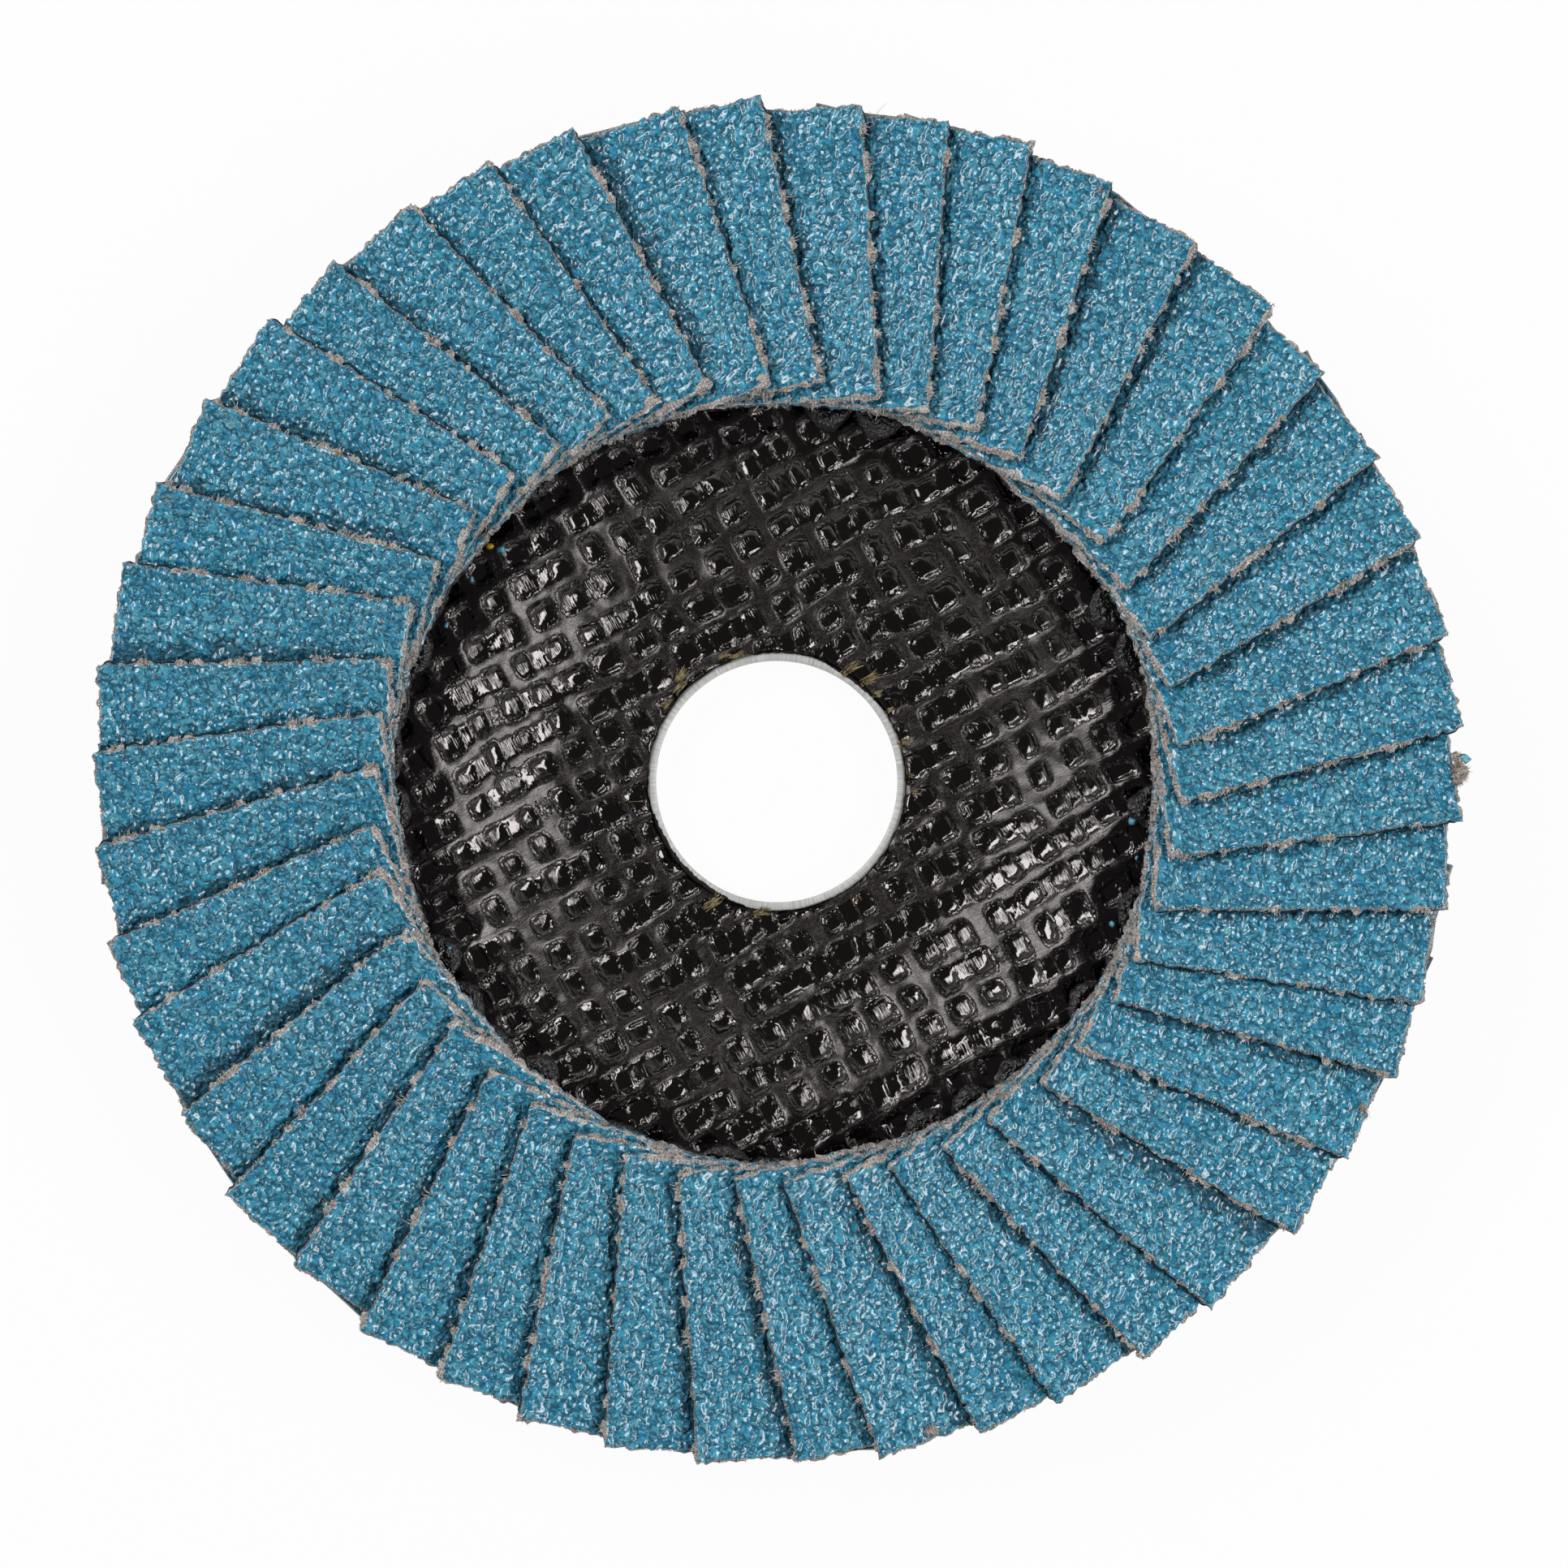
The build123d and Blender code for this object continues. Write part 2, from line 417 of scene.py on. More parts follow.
def abrasive_material(settings):
    """Clear blue resin over packed grains, with grey cloth where it is worn or cut.

    The mesh's attribute relief says how high a point stands; cloth is 0 on the resin, 1 on bare cloth and 2
    on the cloth's lower edge, which is painted near black as the shadow under a free edge. A third attribute
    is 1 beside the next flap, where the grain is painted dark as that flap's shadow. Low grain and the cracks
    between grains carry painted shade, and pale crescents on the grains are painted highlights.
    """
    material, nodes, shader = new_material(
        "Blue coated abrasive", Specular_IOR_Level=0.2, Coat_Roughness=0.15, Coat_IOR=1.65
    )
    grain_width, thread_length, thread_width = 0.7, 0.4 * MM, 0.33 * MM
    cloth_level = nodes.attribute("cloth")
    surface = nodes.uv("flap", 1 / MM, 1 / MM)
    speck = nodes.noise(surface, 7.0, 3.0, 0.6)
    grains = nodes.group("Packed grains", packed_grains, {"Vector": surface, "Scale": 1 / grain_width})
    choice, valley = grains["Choice"], grains["Valley"]

    depth = nodes.jitter(nodes.attribute("relief"), speck, 1.3)
    # Painted shade: grain that sits lower in the mesh's relief takes the deep blue; the same blue also tints
    # random patches below.
    blue = nodes.blend(nodes.remap(depth, 0.0, 0.95), settings.deep_tone_and_shade_color, settings.grain_color)
    # Painted shadow: the grain beside the next flap's free edge is blended toward dark blue, more so in the
    # cracks.
    edge_shade = nodes.jitter(nodes.attribute("edge_shaded"), valley, 0.7)
    chip = nodes.math("MULTIPLY", nodes.remap(choice, 0.984, 0.986), nodes.remap(valley, 0.3, 0.05))
    for share, tint in (
        (nodes.remap(choice, 0.55, 0.95, 0.0, 0.6), settings.pale_grain_color),
        (nodes.remap(nodes.noise(surface, 0.55), 0.56, 0.7, 0.0, 0.75), settings.thick_resin_color),
        (nodes.remap(nodes.noise(surface, 0.13), 0.4, 0.7, 0.0, 0.2), settings.deep_tone_and_shade_color),
        # Painted shade in the cracks between grains.
        (nodes.remap(valley, 0.4, 1.0, 0.0, 0.85), settings.valley_shade_color),
        # Painted highlight: pale crescents on the grains.
        (nodes.math("MULTIPLY", grains["Glint"], 0.75), settings.rim_color),
        (nodes.remap(edge_shade, 0.35, 1.25, 0.0, 0.8), settings.edge_shadow_color),
        (chip, settings.chipped_grain_color),
    ):
        blue = nodes.blend(share, blue, tint)

    threads = nodes.uv("flap", 1 / thread_length, 1 / thread_width)
    weave = nodes.group("Woven cloth", woven_cloth, {"Threads": threads, "Fibres": 2.4})
    clean = nodes.remap(nodes.noise(surface, 1.1), 0.47, 0.66)
    cloth = nodes.blend(clean, settings.cloth_color, settings.tuft_color)
    cloth = nodes.blend(weave["Shade"], settings.cloth_shadow_color, cloth)
    # Painted shadow: cloth values near 2, on the lower edge and toe under a free edge, go near black for the
    # shadow there; lower values take less of it.
    under_edge_shadow = nodes.remap(nodes.plus(cloth_level, speck, 0.8), 1.55, 2.1)
    cloth = nodes.blend(under_edge_shadow, cloth, settings.under_edge_shadow_color)
    bare = nodes.remap(nodes.jitter(cloth_level, speck, 0.9), 0.44, 0.56)
    height = nodes.mix(bare, nodes.plus(grains["Height"], speck, 0.03), weave["Height"])
    looks = {
        "Base Color": nodes.blend(bare, blue, cloth),
        "Roughness": nodes.remap(bare, 0.0, 1.0, 0.5, 0.95),
        "Coat Weight": nodes.math("SUBTRACT", 1.0, bare),
        "Normal": nodes.bump(height, 0.13 * MM),
    }
    nodes.fill(shader, looks)
    return material


def laminate_material(settings):
    """Black resin over glass mesh: dull lands over the yarns, glossy pits and sunken yarns between.

    The UV map yarns counts the mesh's yarns, and pits measures from the middle of
    the nearest pit in half widths. The attribute sunk is 1 where a crossing yarn
    lies low, and outer is 1 beyond the clean part of the plate.
    """
    material, nodes, shader = new_material(
        "Black glass laminate", Specular_IOR_Level=0.46, IOR=1.85, Specular_Tint=(1, 0.93, 0.91, 1)
    )
    place = nodes.place()

    def pattern(span, detail=2.0, roughness=0.5):
        return nodes.noise(place, 1 / (span * MM), detail, roughness)

    dust, ragged = pattern(0.2, 4.0, 0.75), pattern(0.42, 4.0, 0.7)
    pits = nodes.axes(nodes.uv("pits"))
    fourth = [nodes.math("POWER", pits[axis], 4.0) for axis in "XY"]
    square = nodes.math("POWER", nodes.math("ADD", *fourth), 0.25)
    outside_pit = nodes.remap(nodes.jitter(square, ragged, 0.55), 0.93, 1.04)
    raised = nodes.remap(nodes.jitter(nodes.attribute("sunk"), ragged, 0.8), 0.42, 0.32)
    dull = nodes.math("MULTIPLY", outside_pit, raised)
    clean = nodes.remap(nodes.plus(nodes.attribute("outer"), ragged, 0.9), 1.0, 0.8)
    land = nodes.math("MULTIPLY", dull, clean)

    stretched = nodes.uv("yarns", 3.2, 1.5)
    facet = nodes.vector("DOT_PRODUCT", *nodes.cell_lean(stretched, nodes.cells(stretched, 1.0)))
    stripes = nodes.noise(nodes.uv("yarns", 22.0, 1.2), 1.0, 2.0, 0.55)
    scratches = nodes.noise(nodes.uv("yarns", 3.0, 26.0), 1.0, 2.0, 0.6)
    fibrous = nodes.remap(pattern(1.7, 0.0), 0.42, 0.6, 0.12, 0.8)
    off_ridge = nodes.math("ABSOLUTE", nodes.math("SUBTRACT", nodes.jitter(square, ragged, 0.08), 0.8))
    broken = nodes.remap(pattern(0.8, 1.0), 0.42, 0.56)
    ridge = nodes.math("MULTIPLY", nodes.remap(off_ridge, 0.0, 0.3, 1.0, 0.0), broken)
    wet = nodes.math("MULTIPLY", stripes, fibrous)
    for bumps, share in ((facet, 1.1), (pattern(0.3, 1.0), 0.06), (pattern(1.0, 0.0), 0.9), (ridge, 1.0)):
        wet = nodes.plus(wet, bumps, share)
    film = nodes.math("MULTIPLY_ADD", scratches, 0.3, -1.0)
    for bumps, share in ((dust, 0.22), (ragged, 0.3), (pattern(2.6, 1.0), 6.0)):
        film = nodes.plus(film, bumps, share)

    speckled = nodes.blend(nodes.remap(dust, 0.45, 0.62), settings.land_color, settings.land_dust_color)
    speckled = nodes.blend(nodes.remap(pattern(2.4), 0.3, 0.62, 0.85, 0.0), speckled, settings.hollow_color)
    scuffed = nodes.remap(nodes.plus(dust, scratches, 0.6), 0.6, 1.0, 0.2, 0.37)
    looks = {
        "Base Color": nodes.blend(land, settings.hollow_color, speckled),
        "Roughness": nodes.mix(land, 0.07, scuffed),
        "Normal": nodes.bump(nodes.mix(dull, wet, film), 0.09 * MM),
    }
    nodes.fill(shader, looks)
    return material


def ring_material(settings):
    """Matte stamped metal with fine marks that run out from the axis, and black resin smeared over its lip.

    The smear starts where the way out across the lip, plus noise, passes a limit;
    it comes further in on two sides.
    """
    material, nodes, shader = new_material("Matte stamped metal", Metallic=0.35)
    lip_height = 1.5 * MM
    place = nodes.place()
    flat = nodes.vector("MULTIPLY", place, (1, 1, 0))
    around = nodes.vector("NORMALIZE", flat)
    marks = nodes.noise(around, 60.0, 3.0, 0.7)
    smear = nodes.math("SUBTRACT", nodes.vector("LENGTH", flat), settings.bore_radius)
    smear = nodes.math("DIVIDE", smear, settings.ring_wall)
    smear = nodes.plus(smear, nodes.noise(place, 1 / (0.7 * MM), 3.0, 0.6), 0.7)
    for degrees, low, cover in ((222, 0.75, 0.6), (52, 0.93, 0.4)):
        near = nodes.vector("DOT_PRODUCT", around, (*toward(np.radians(degrees)), 0))
        smear = nodes.math("ADD", smear, nodes.remap(near, low, 1.0, 0.0, cover))
    on_lip = nodes.math("GREATER_THAN", nodes.axes(place)["Z"], lip_height)
    smear = nodes.math("MULTIPLY", nodes.remap(smear, 1.31, 1.37), on_lip)
    wear = nodes.remap(nodes.noise(place, 1 / (1.5 * MM)), 0.45, 0.8, 0.0, 0.3)
    metal = nodes.blend(nodes.remap(marks, 0.3, 0.7), settings.metal_shadow_color, settings.metal_color)
    metal = nodes.blend(wear, metal, settings.metal_shadow_color)
    looks = {
        "Base Color": nodes.blend(smear, metal, settings.smear_color),
        "Roughness": nodes.remap(marks, 0.2, 0.8, 0.45, 0.65),
        "Normal": nodes.bump(marks, 0.02 * MM, 0.6),
    }
    nodes.fill(shader, looks)
    return material


def adhesive_material(settings):
    """Black cured resin, glossy and wrinkled, with a dull film in places."""
    material, nodes, shader = new_material("Black cured adhesive", Specular_IOR_Level=0.5, IOR=1.6)
    lump_width = 1.1
    millimetres = nodes.vector("SCALE", nodes.place(), Scale=1 / MM)
    ripple = nodes.noise(millimetres, 2.2, 3.0, 0.65)
    lumps = nodes.group("Packed grains", packed_grains, {"Vector": millimetres, "Scale": 1 / lump_width})
    height = nodes.plus(ripple, lumps["Height"], 0.5)
    height = nodes.plus(height, nodes.noise(millimetres, 5.0, 1.0), 0.5)
    film = nodes.remap(ripple, 0.4, 0.7)
    looks = {
        "Base Color": nodes.blend(film, settings.adhesive_color, settings.adhesive_dust_color),
        "Roughness": nodes.remap(ripple, 0.35, 0.7, 0.06, 0.25),
        "Normal": nodes.bump(height, 0.22 * MM),
    }
    nodes.fill(shader, looks)
    return material


def fibre_material(name, pale, dark):
    """Cut fibre or crumbs, uneven in shade."""
    material, nodes, shader = new_material(name, Roughness=0.6)
    shade = nodes.noise(nodes.place(), 1 / (0.4 * MM))
    tint = nodes.blend(nodes.remap(shade, 0.3, 0.7), dark, pale)
    nodes.fill(shader, {"Base Color": tint, "Normal": nodes.bump(shade, 0.02 * MM, 0.5)})
    return material


# --- Strands ---------------------------------------------------------------------

JOINTS, SIDES = 4, 3


def strand_points(starts, ahead, way, bend, height, radii):
    """Three-sided prisms in four joints, as an array of strand, joint and side.

    A joint lies its way ahead of the strand's start and its bend aside, at its
    height. Its points lie on a circle of its radius, across the strand.
    """
    aside = np.stack([-ahead[:, 1], ahead[:, 0]], axis=-1)
    flat = starts[:, None] + ahead[:, None] * way[..., None] + aside[:, None] * bend[..., None]
    around = np.arange(SIDES) * 2 * np.pi / SIDES + 0.5
    radii = radii[..., None]
    flat = flat[:, :, None] + aside[:, None, None] * (radii * np.cos(around))[..., None]
    height = height[..., None] + radii * np.sin(around)
    return np.concatenate([flat, height[..., None]], axis=-1)


def strand_faces(count, first=0):
    """Quads round the strands and triangles that close their ends; first is their first point's number."""
    bases = first + np.arange(count)[:, None, None] * JOINTS * SIDES
    last = (JOINTS - 1) * SIDES
    sleeve = grid_faces(JOINTS, SIDES, wrap_columns=True)
    caps = np.array([[0, 2, 1], [last, last + 1, last + 2]])
    return [(bases + part).reshape(-1, part.shape[1]) for part in (sleeve, caps)]


# --- Flaps -----------------------------------------------------------------------


class FlapShape:
    """Where one flap lies. A point is (x, y) along and across the flap, and a height above its underside.

    The underside climbs evenly with the angle, so that each flap nests on the one
    before; the flap's own outline is turned and shifted a little within that surface.
    """

    root, tip = FLAP_LOW.x, FLAP_HIGH.x
    exposed, buried = -FLAP_LOW.y, FLAP_HIGH.y
    width, length = exposed + buried, tip - root
    middle_x, middle_y = (root + tip) / 2, (buried - exposed) / 2
    pitch = 2 * np.pi / len(FLAP_NODES)

    def __init__(self, index, settings):
        self.index, self.seed = index, 1000 + 31 * index
        corner = np.hypot(self.root, self.exposed)
        rise = (np.arcsin(self.buried / corner) + np.arcsin(self.exposed / corner)) / self.pitch
        self.thickness = (FLAP_HIGH.z - FLAP_LOW.z - settings.flap_gap * rise) / (1 + rise)
        self.climb = (self.thickness + settings.flap_gap) / self.pitch
        wobble = 2 * hash01(index, np.arange(5), 77) - 1
        self.shift_angle = wobble[0] * settings.angle_jitter
        self.shift_out = wobble[1] * settings.reach_jitter
        self.turn = wobble[2] * settings.turn_jitter
        self.curl = settings.edge_curl * (0.25 + 0.75 * abs(wobble[3]))
        self.tip_curl = settings.edge_curl * 0.9 * max(0.0, wobble[4])

    def pattern(self, x, y, span, draw):
        """The flap's own noise in lumps as wide as span; draw picks one of its patterns."""
        return noise(x / span, y / span, self.seed + draw)

    def clumps(self, x, y):
        """Where the cut cloth frays in tufts, from 0 to 1."""
        return self.pattern(x, y, 0.9 * MM, 53)

    def strip(self, x):
        """Width of the strip that the next flap leaves uncovered, at a distance along the flap."""
        return self.exposed * (1 - 1 / np.cos(self.pitch)) + x * np.tan(self.pitch)

    def lift(self, x, y):
        """How far the free edge curls up: most at the cut edge, nothing where the next flap lies."""
        wave = 0.35 + 0.65 * noise(x / (7 * MM) + 3.7, 0, self.seed)
        tip = self.tip_curl * smoothstep(0.72, 1.0, (x - self.root) / self.length)
        root = smoothstep(0, 5 * MM, x - self.root)
        inward = 1 - smoothstep(0, 3.4 * MM, y + self.exposed)
        return (self.curl * wave * (0.3 + 0.7 * root) + tip) * inward**1.5

    def place(self, x, y, height):
        """Points of the frame for points of the flap."""
        off_x, off_y = x - self.middle_x, y - self.middle_y
        cos, sin = np.cos(self.turn), np.sin(self.turn)
        moved_x = self.middle_x + off_x * cos - off_y * sin + self.shift_out
        moved_y = self.middle_y + off_x * sin + off_y * cos
        radius = np.hypot(moved_x, moved_y)
        angle = np.arctan2(moved_y, moved_x) + self.shift_angle
        settled = np.arcsin(np.minimum(self.buried / radius, 1))
        under = FLAP_LOW.z + self.climb * np.maximum(settled - angle, 0)
        return turned_points(radius, angle + self.index * self.pitch, under + height + self.lift(x, y))


def flap_top(shape, settings):
    """Grid of the coated face: x, y, height above the underside, relief, cloth, and a mask for painted
    shadow.

    Height is the flap's thickness less the valleys between packed domes; worn cloth
    lies lower. Columns crowd the strip that the next flap leaves open, and fan out
    near the root, where the flaps' ends show as a stack of steps.
    """
    hidden_columns = 4
    end_zone, fan_start, fan_end = 0.5 * MM, 3.0 * MM, 0.8 * MM
    along = np.linspace(0, 1, settings.grain_rows)[:, None] * shape.length
    shown = shape.strip(shape.root + along) + settings.cover_margin
    shown = shown + (0.7 * shape.width - shown) * (1 - smoothstep(fan_end, fan_start, along))
    inner = np.linspace(0, 1, settings.grain_columns) * shown
    outer = shown + np.linspace(0, 1, hidden_columns + 1)[1:] * (shape.width - shown)
    across = np.concatenate([inner, outer], axis=1)
    from_root = np.broadcast_to(along, across.shape)
    from_tip = shape.length - from_root
    from_end = np.minimum(from_root, from_tip)
    cut = np.minimum(from_end, across)
    x, y = shape.root + from_root, across - shape.exposed

    ragged = settings.ragged_edge * (2 * shape.pattern(x, y, 0.5 * MM, 9) - 1)
    ragged = ragged * (1 - smoothstep(0, end_zone, cut))
    y = y + ragged * (across < 0.5 * shape.width)
    x = x + ragged * np.where(from_root < from_tip, 1, -1) * (from_end < end_zone)

    cells_x, cells_y = x / settings.grain_pitch, y / settings.grain_pitch
    bend = 0.35 * (noise(cells_x * 0.8, cells_y * 0.8, shape.seed + 5) - 0.5)
    grain = domes(cells_x + bend, cells_y - bend, shape.seed)
    finer = 1.9
    grain = grain + 0.35 * (domes(cells_x * finer, cells_y * finer, shape.seed + 11) - 0.5)
    relief = smoothstep(0.15, 1.15, grain)

    nibbled = shape.pattern(y, x, 0.55 * MM, 33) - 0.5
    root_wear = 0.3 + 1.4 * noise(y / (2.2 * MM), 0, shape.seed + 23) + 1.5 * nibbled
    root_wear = np.maximum(settings.root_wear * root_wear, MICRON)
    corner_wear = max(settings.corner_wear * hash01(shape.index, 7, 5) ** 2, MICRON)
    bare = np.maximum(1 - from_root / root_wear, 1 - np.hypot(from_root, across) / corner_wear)
    bare = np.maximum(bare, 0.9 * smoothstep(0.52, 0.72, shape.clumps(x, y)) - across / (0.32 * MM))
    bare = np.maximum(bare, 0.6 - from_tip / (0.2 * MM))
    cloth = smoothstep(-0.1, 0.35, bare + 1.3 * (shape.pattern(x, y, 0.45 * MM, 21) - 0.6))

    valley = settings.grain_depth * (1 - relief)
    crumble = smoothstep(0.25, 0.75, shape.pattern(x, y, 0.4 * MM, 31))
    shoulder = 0.17 * MM * np.exp(-((cut / (0.2 * MM)) ** 2)) * crumble
    height = shape.thickness - valley - shoulder - cloth * (settings.coat_depth * 0.8 - valley)
    height = height + cloth * 0.12 * MM * shape.pattern(x, y, 0.3 * MM, 27)
    # Painted shadow: a mask that is 1 on the grain just before the next flap's free edge, which the material
    # paints dark where that edge's shadow falls.
    uneven = shape.pattern(x, y, 1.1 * MM, 29) - 0.5
    edge_shaded = smoothstep(2.1 * MM, 0.2 * MM, shape.strip(x) - across + 1.6 * MM * uneven)
    return x, y, height, relief, cloth, edge_shaded * smoothstep(0.8 * MM, 5 * MM, from_root)


def flap_fibres(shape, settings):
    """Frayed strands that stand out of the cut edges, in the flap's own x, y and height.

    A strand starts inside its edge, runs out at an angle of its own and bends with
    the square of the way along it. Tufts of cloth carry the long ones.
    """
    strand, number = np.arange(settings.fibres_per_flap), np.arange(9)[:, None]
    draw = hash01(strand, number, shape.seed + 41)
    on_long = draw[0] < 0.64
    on_root = ~on_long & (draw[0] < 0.88)
    run = draw[1]
    x = np.select([on_long, on_root], [shape.root + run * shape.length, shape.root], shape.tip)
    y = np.where(on_long, 0, run * np.where(on_root, 0.62, 0.48) * shape.width) - shape.exposed
    out_x, out_y = np.select([on_long, on_root], [0.0, -1.0], 1.0), np.where(on_long, -1.0, 0.0)
    swing = (draw[2] - 0.5) * 1.4
    cos, sin = np.cos(swing), np.sin(swing)
    ahead = np.stack([out_x * cos - out_y * sin, out_x * sin + out_y * cos], axis=-1)

    clump = smoothstep(0.48, 0.74, shape.clumps(x, y))
    trimmed = (1 - 0.7 * smoothstep(2 * MM, 0, shape.tip - x)) * np.where(on_root, 0.8, 1)
    reach = settings.fibre_length * (0.2 + 0.7 * draw[3] + 0.9 * draw[8] ** 6) * (0.2 + clump) * trimmed
    steps, taper = np.array([-0.35, 0.3, 0.7, 1.0]), np.array([1.0, 1.0, 0.75, 0.25])
    way = reach[:, None] * steps - np.array([0.2, 0, 0, 0]) * MM
    sweep = (draw[7] - 0.5) * 1.2
    bend = reach[:, None] * sweep[:, None] * np.maximum(steps, 0) ** 2
    level = shape.thickness * (0.4 + 0.4 * draw[5])
    climb = (draw[6] - 0.55) * 0.35
    height = np.maximum(level[:, None] + climb[:, None] * way, 0.12 * shape.thickness)
    radii = (settings.fibre_radius * (0.6 + 0.9 * draw[4]))[:, None] * taper
    stand = 0.5 * settings.fray * clump * trimmed
    starts = np.stack([x + out_x * stand, y + out_y * stand], axis=-1)
    return strand_points(starts, ahead, way, bend, height, radii)


def flap_walls(shape, settings, x, y, height):
    """Rings of points from the flap's cut edge down its frayed walls and in under it.

    For each: how far it stands out of the edge, its height, and its cloth value.
    """
    end_zone = 0.8 * MM
    near_root = smoothstep(end_zone, 0, x - shape.root)
    near_tip = smoothstep(end_zone, 0, shape.tip - x)
    spike = hash01(np.arange(len(x)), 3, shape.seed + 51)
    clump = shape.clumps(x, y)
    lumps = 2 * shape.pattern(x, y, 0.3 * MM, 55) - 1
    shown = smoothstep(0.4, 0.62, clump)
    fray = settings.fray * (0.12 + smoothstep(0.48, 0.74, clump)) * (0.4 + 0.9 * spike)
    fray = fray * (1 - 0.55 * near_tip - 0.55 * near_root)
    fray = fray + 0.13 * MM * near_root * (0.5 + spike + 0.9 * lumps)
    open_side = y < -shape.exposed + 0.72 * shape.width
    fray = np.where(open_side, fray, 0.02 * MM)
    # The toe is a dark foot that stands out under the free edge, painted as its shadow.
    shadow_toe = settings.shadow_toe * (0.35 + 1.3 * (1 - clump)) * open_side * (1 - near_tip) * (1 - 0.6 * near_root)
    t = shape.thickness
    return (
        (0.1 * fray, np.minimum(height, t) - t * (0.14 + 0.12 * lumps), 0.2 + 0.7 * shown + 0.3 * lumps),
        (0.9 * fray, t * (0.7 - 0.08 * spike + 0.14 * lumps), 0.1 + shown + 0.4 * lumps),
        (fray, t * (0.5 + 0.1 * clump + 0.1 * lumps), 0.4 + 0.7 * shown + 0.2 * lumps),
        # These last rings have cloth values near 2, which the material paints near black as the shadow under
        # the free edge.
        (fray + 0.25 * shadow_toe, t * 0.42, 1.9),
        (0.7 * fray + 0.8 * shadow_toe, t * 0.24, 2.0),
        (0.5 * fray + shadow_toe, t * 0.06, 2.0),
        (-0.06 * MM, 0, 2.0),
        (-0.45 * MM, 0, 1.5),
    )


def flap_mesh(shape, settings):
    """One closed flap: the grain grid, frayed walls round it as rings, the cloth back, and edge strands.

    Walls and back are rings of the grid's edge, moved out and down, then drawn in
    to a single point under the flap.
    """
    x, y, height, relief, cloth, edge_shaded = flap_top(shape, settings)
    rows, columns = x.shape
    index = np.arange(rows * columns).reshape(rows, columns)
    edge = np.concatenate([index[:-1, 0], index[-1, :-1], index[:0:-1, -1], index[0, :0:-1]])
    edge_x, edge_y, edge_h = x.ravel()[edge], y.ravel()[edge], height.ravel()[edge]
    step_x, step_y = (np.roll(line, -1) - np.roll(line, 1) for line in (edge_x, edge_y))
    size = np.maximum(np.hypot(step_x, step_y), MICRON)
    out_x, out_y = step_y / size, -step_x / size

    cloth_relief = 0.35
    layers = [(x, y, height, relief, cloth, edge_shaded, x, y)]
    for out, level, bare in flap_walls(shape, settings, edge_x, edge_y, edge_h):
        unrolled = out + edge_h - level
        under = np.minimum(level, edge_h - 0.02 * MM)
        ring_x, ring_y = edge_x + out_x * out, edge_y + out_y * out
        u, v = edge_x + out_x * unrolled, edge_y + out_y * unrolled
        layers.append((ring_x, ring_y, under, cloth_relief, bare, 0, u, v))
    around = len(edge)
    for share, kept in ((0.72, around), (0.36, around), (0.0, 1)):
        back_x = shape.middle_x + (ring_x[:kept] - shape.middle_x) * share
        back_y = shape.middle_y + (ring_y[:kept] - shape.middle_y) * share
        layers.append((back_x, back_y, 0, cloth_relief, 1.0, 0, back_x, back_y))
    ring_count = len(layers) - 2  # without the top and the single point
    strands = flap_fibres(shape, settings)
    strand_x, strand_y, strand_h = np.moveaxis(strands, -1, 0)
    layers.append((strand_x, strand_y, strand_h, cloth_relief, 1.2, 0, strand_x, strand_y))
    columns_of_values = [np.stack(np.broadcast_arrays(*layer)).reshape(len(layer), -1) for layer in layers]
    x, y, height, relief, cloth, edge_shaded, u, v = np.concatenate(columns_of_values, axis=1)

    pole = rows * columns + ring_count * around
    loops = [edge, *np.arange(rows * columns, pole).reshape(ring_count, around)]
    quads = [grid_faces(rows, columns)[:, ::-1]]
    for upper, lower in zip(loops, loops[1:]):
        quads.append(np.stack([upper, lower, np.roll(lower, -1), np.roll(upper, -1)], axis=1))
    fan = np.stack([loops[-1], np.full(around, pole), np.roll(loops[-1], -1)], axis=1)
    sleeves, caps = strand_faces(len(strands), pole + 1)
    quads, triangles = np.concatenate([*quads, sleeves]), np.concatenate([fan, caps])
    mesh = make_mesh(FLAP_NODES[shape.index], shape.place(x, y, height), quads, triangles)
    for name, values in (("relief", relief), ("cloth", cloth), ("edge_shaded", edge_shaded)):
        set_attribute(mesh, name, values)
    set_uv(mesh, "flap", u + 0.041 * shape.index, v + 0.067 * shape.index)
    return mesh


# --- Backing plate ---------------------------------------------------------------


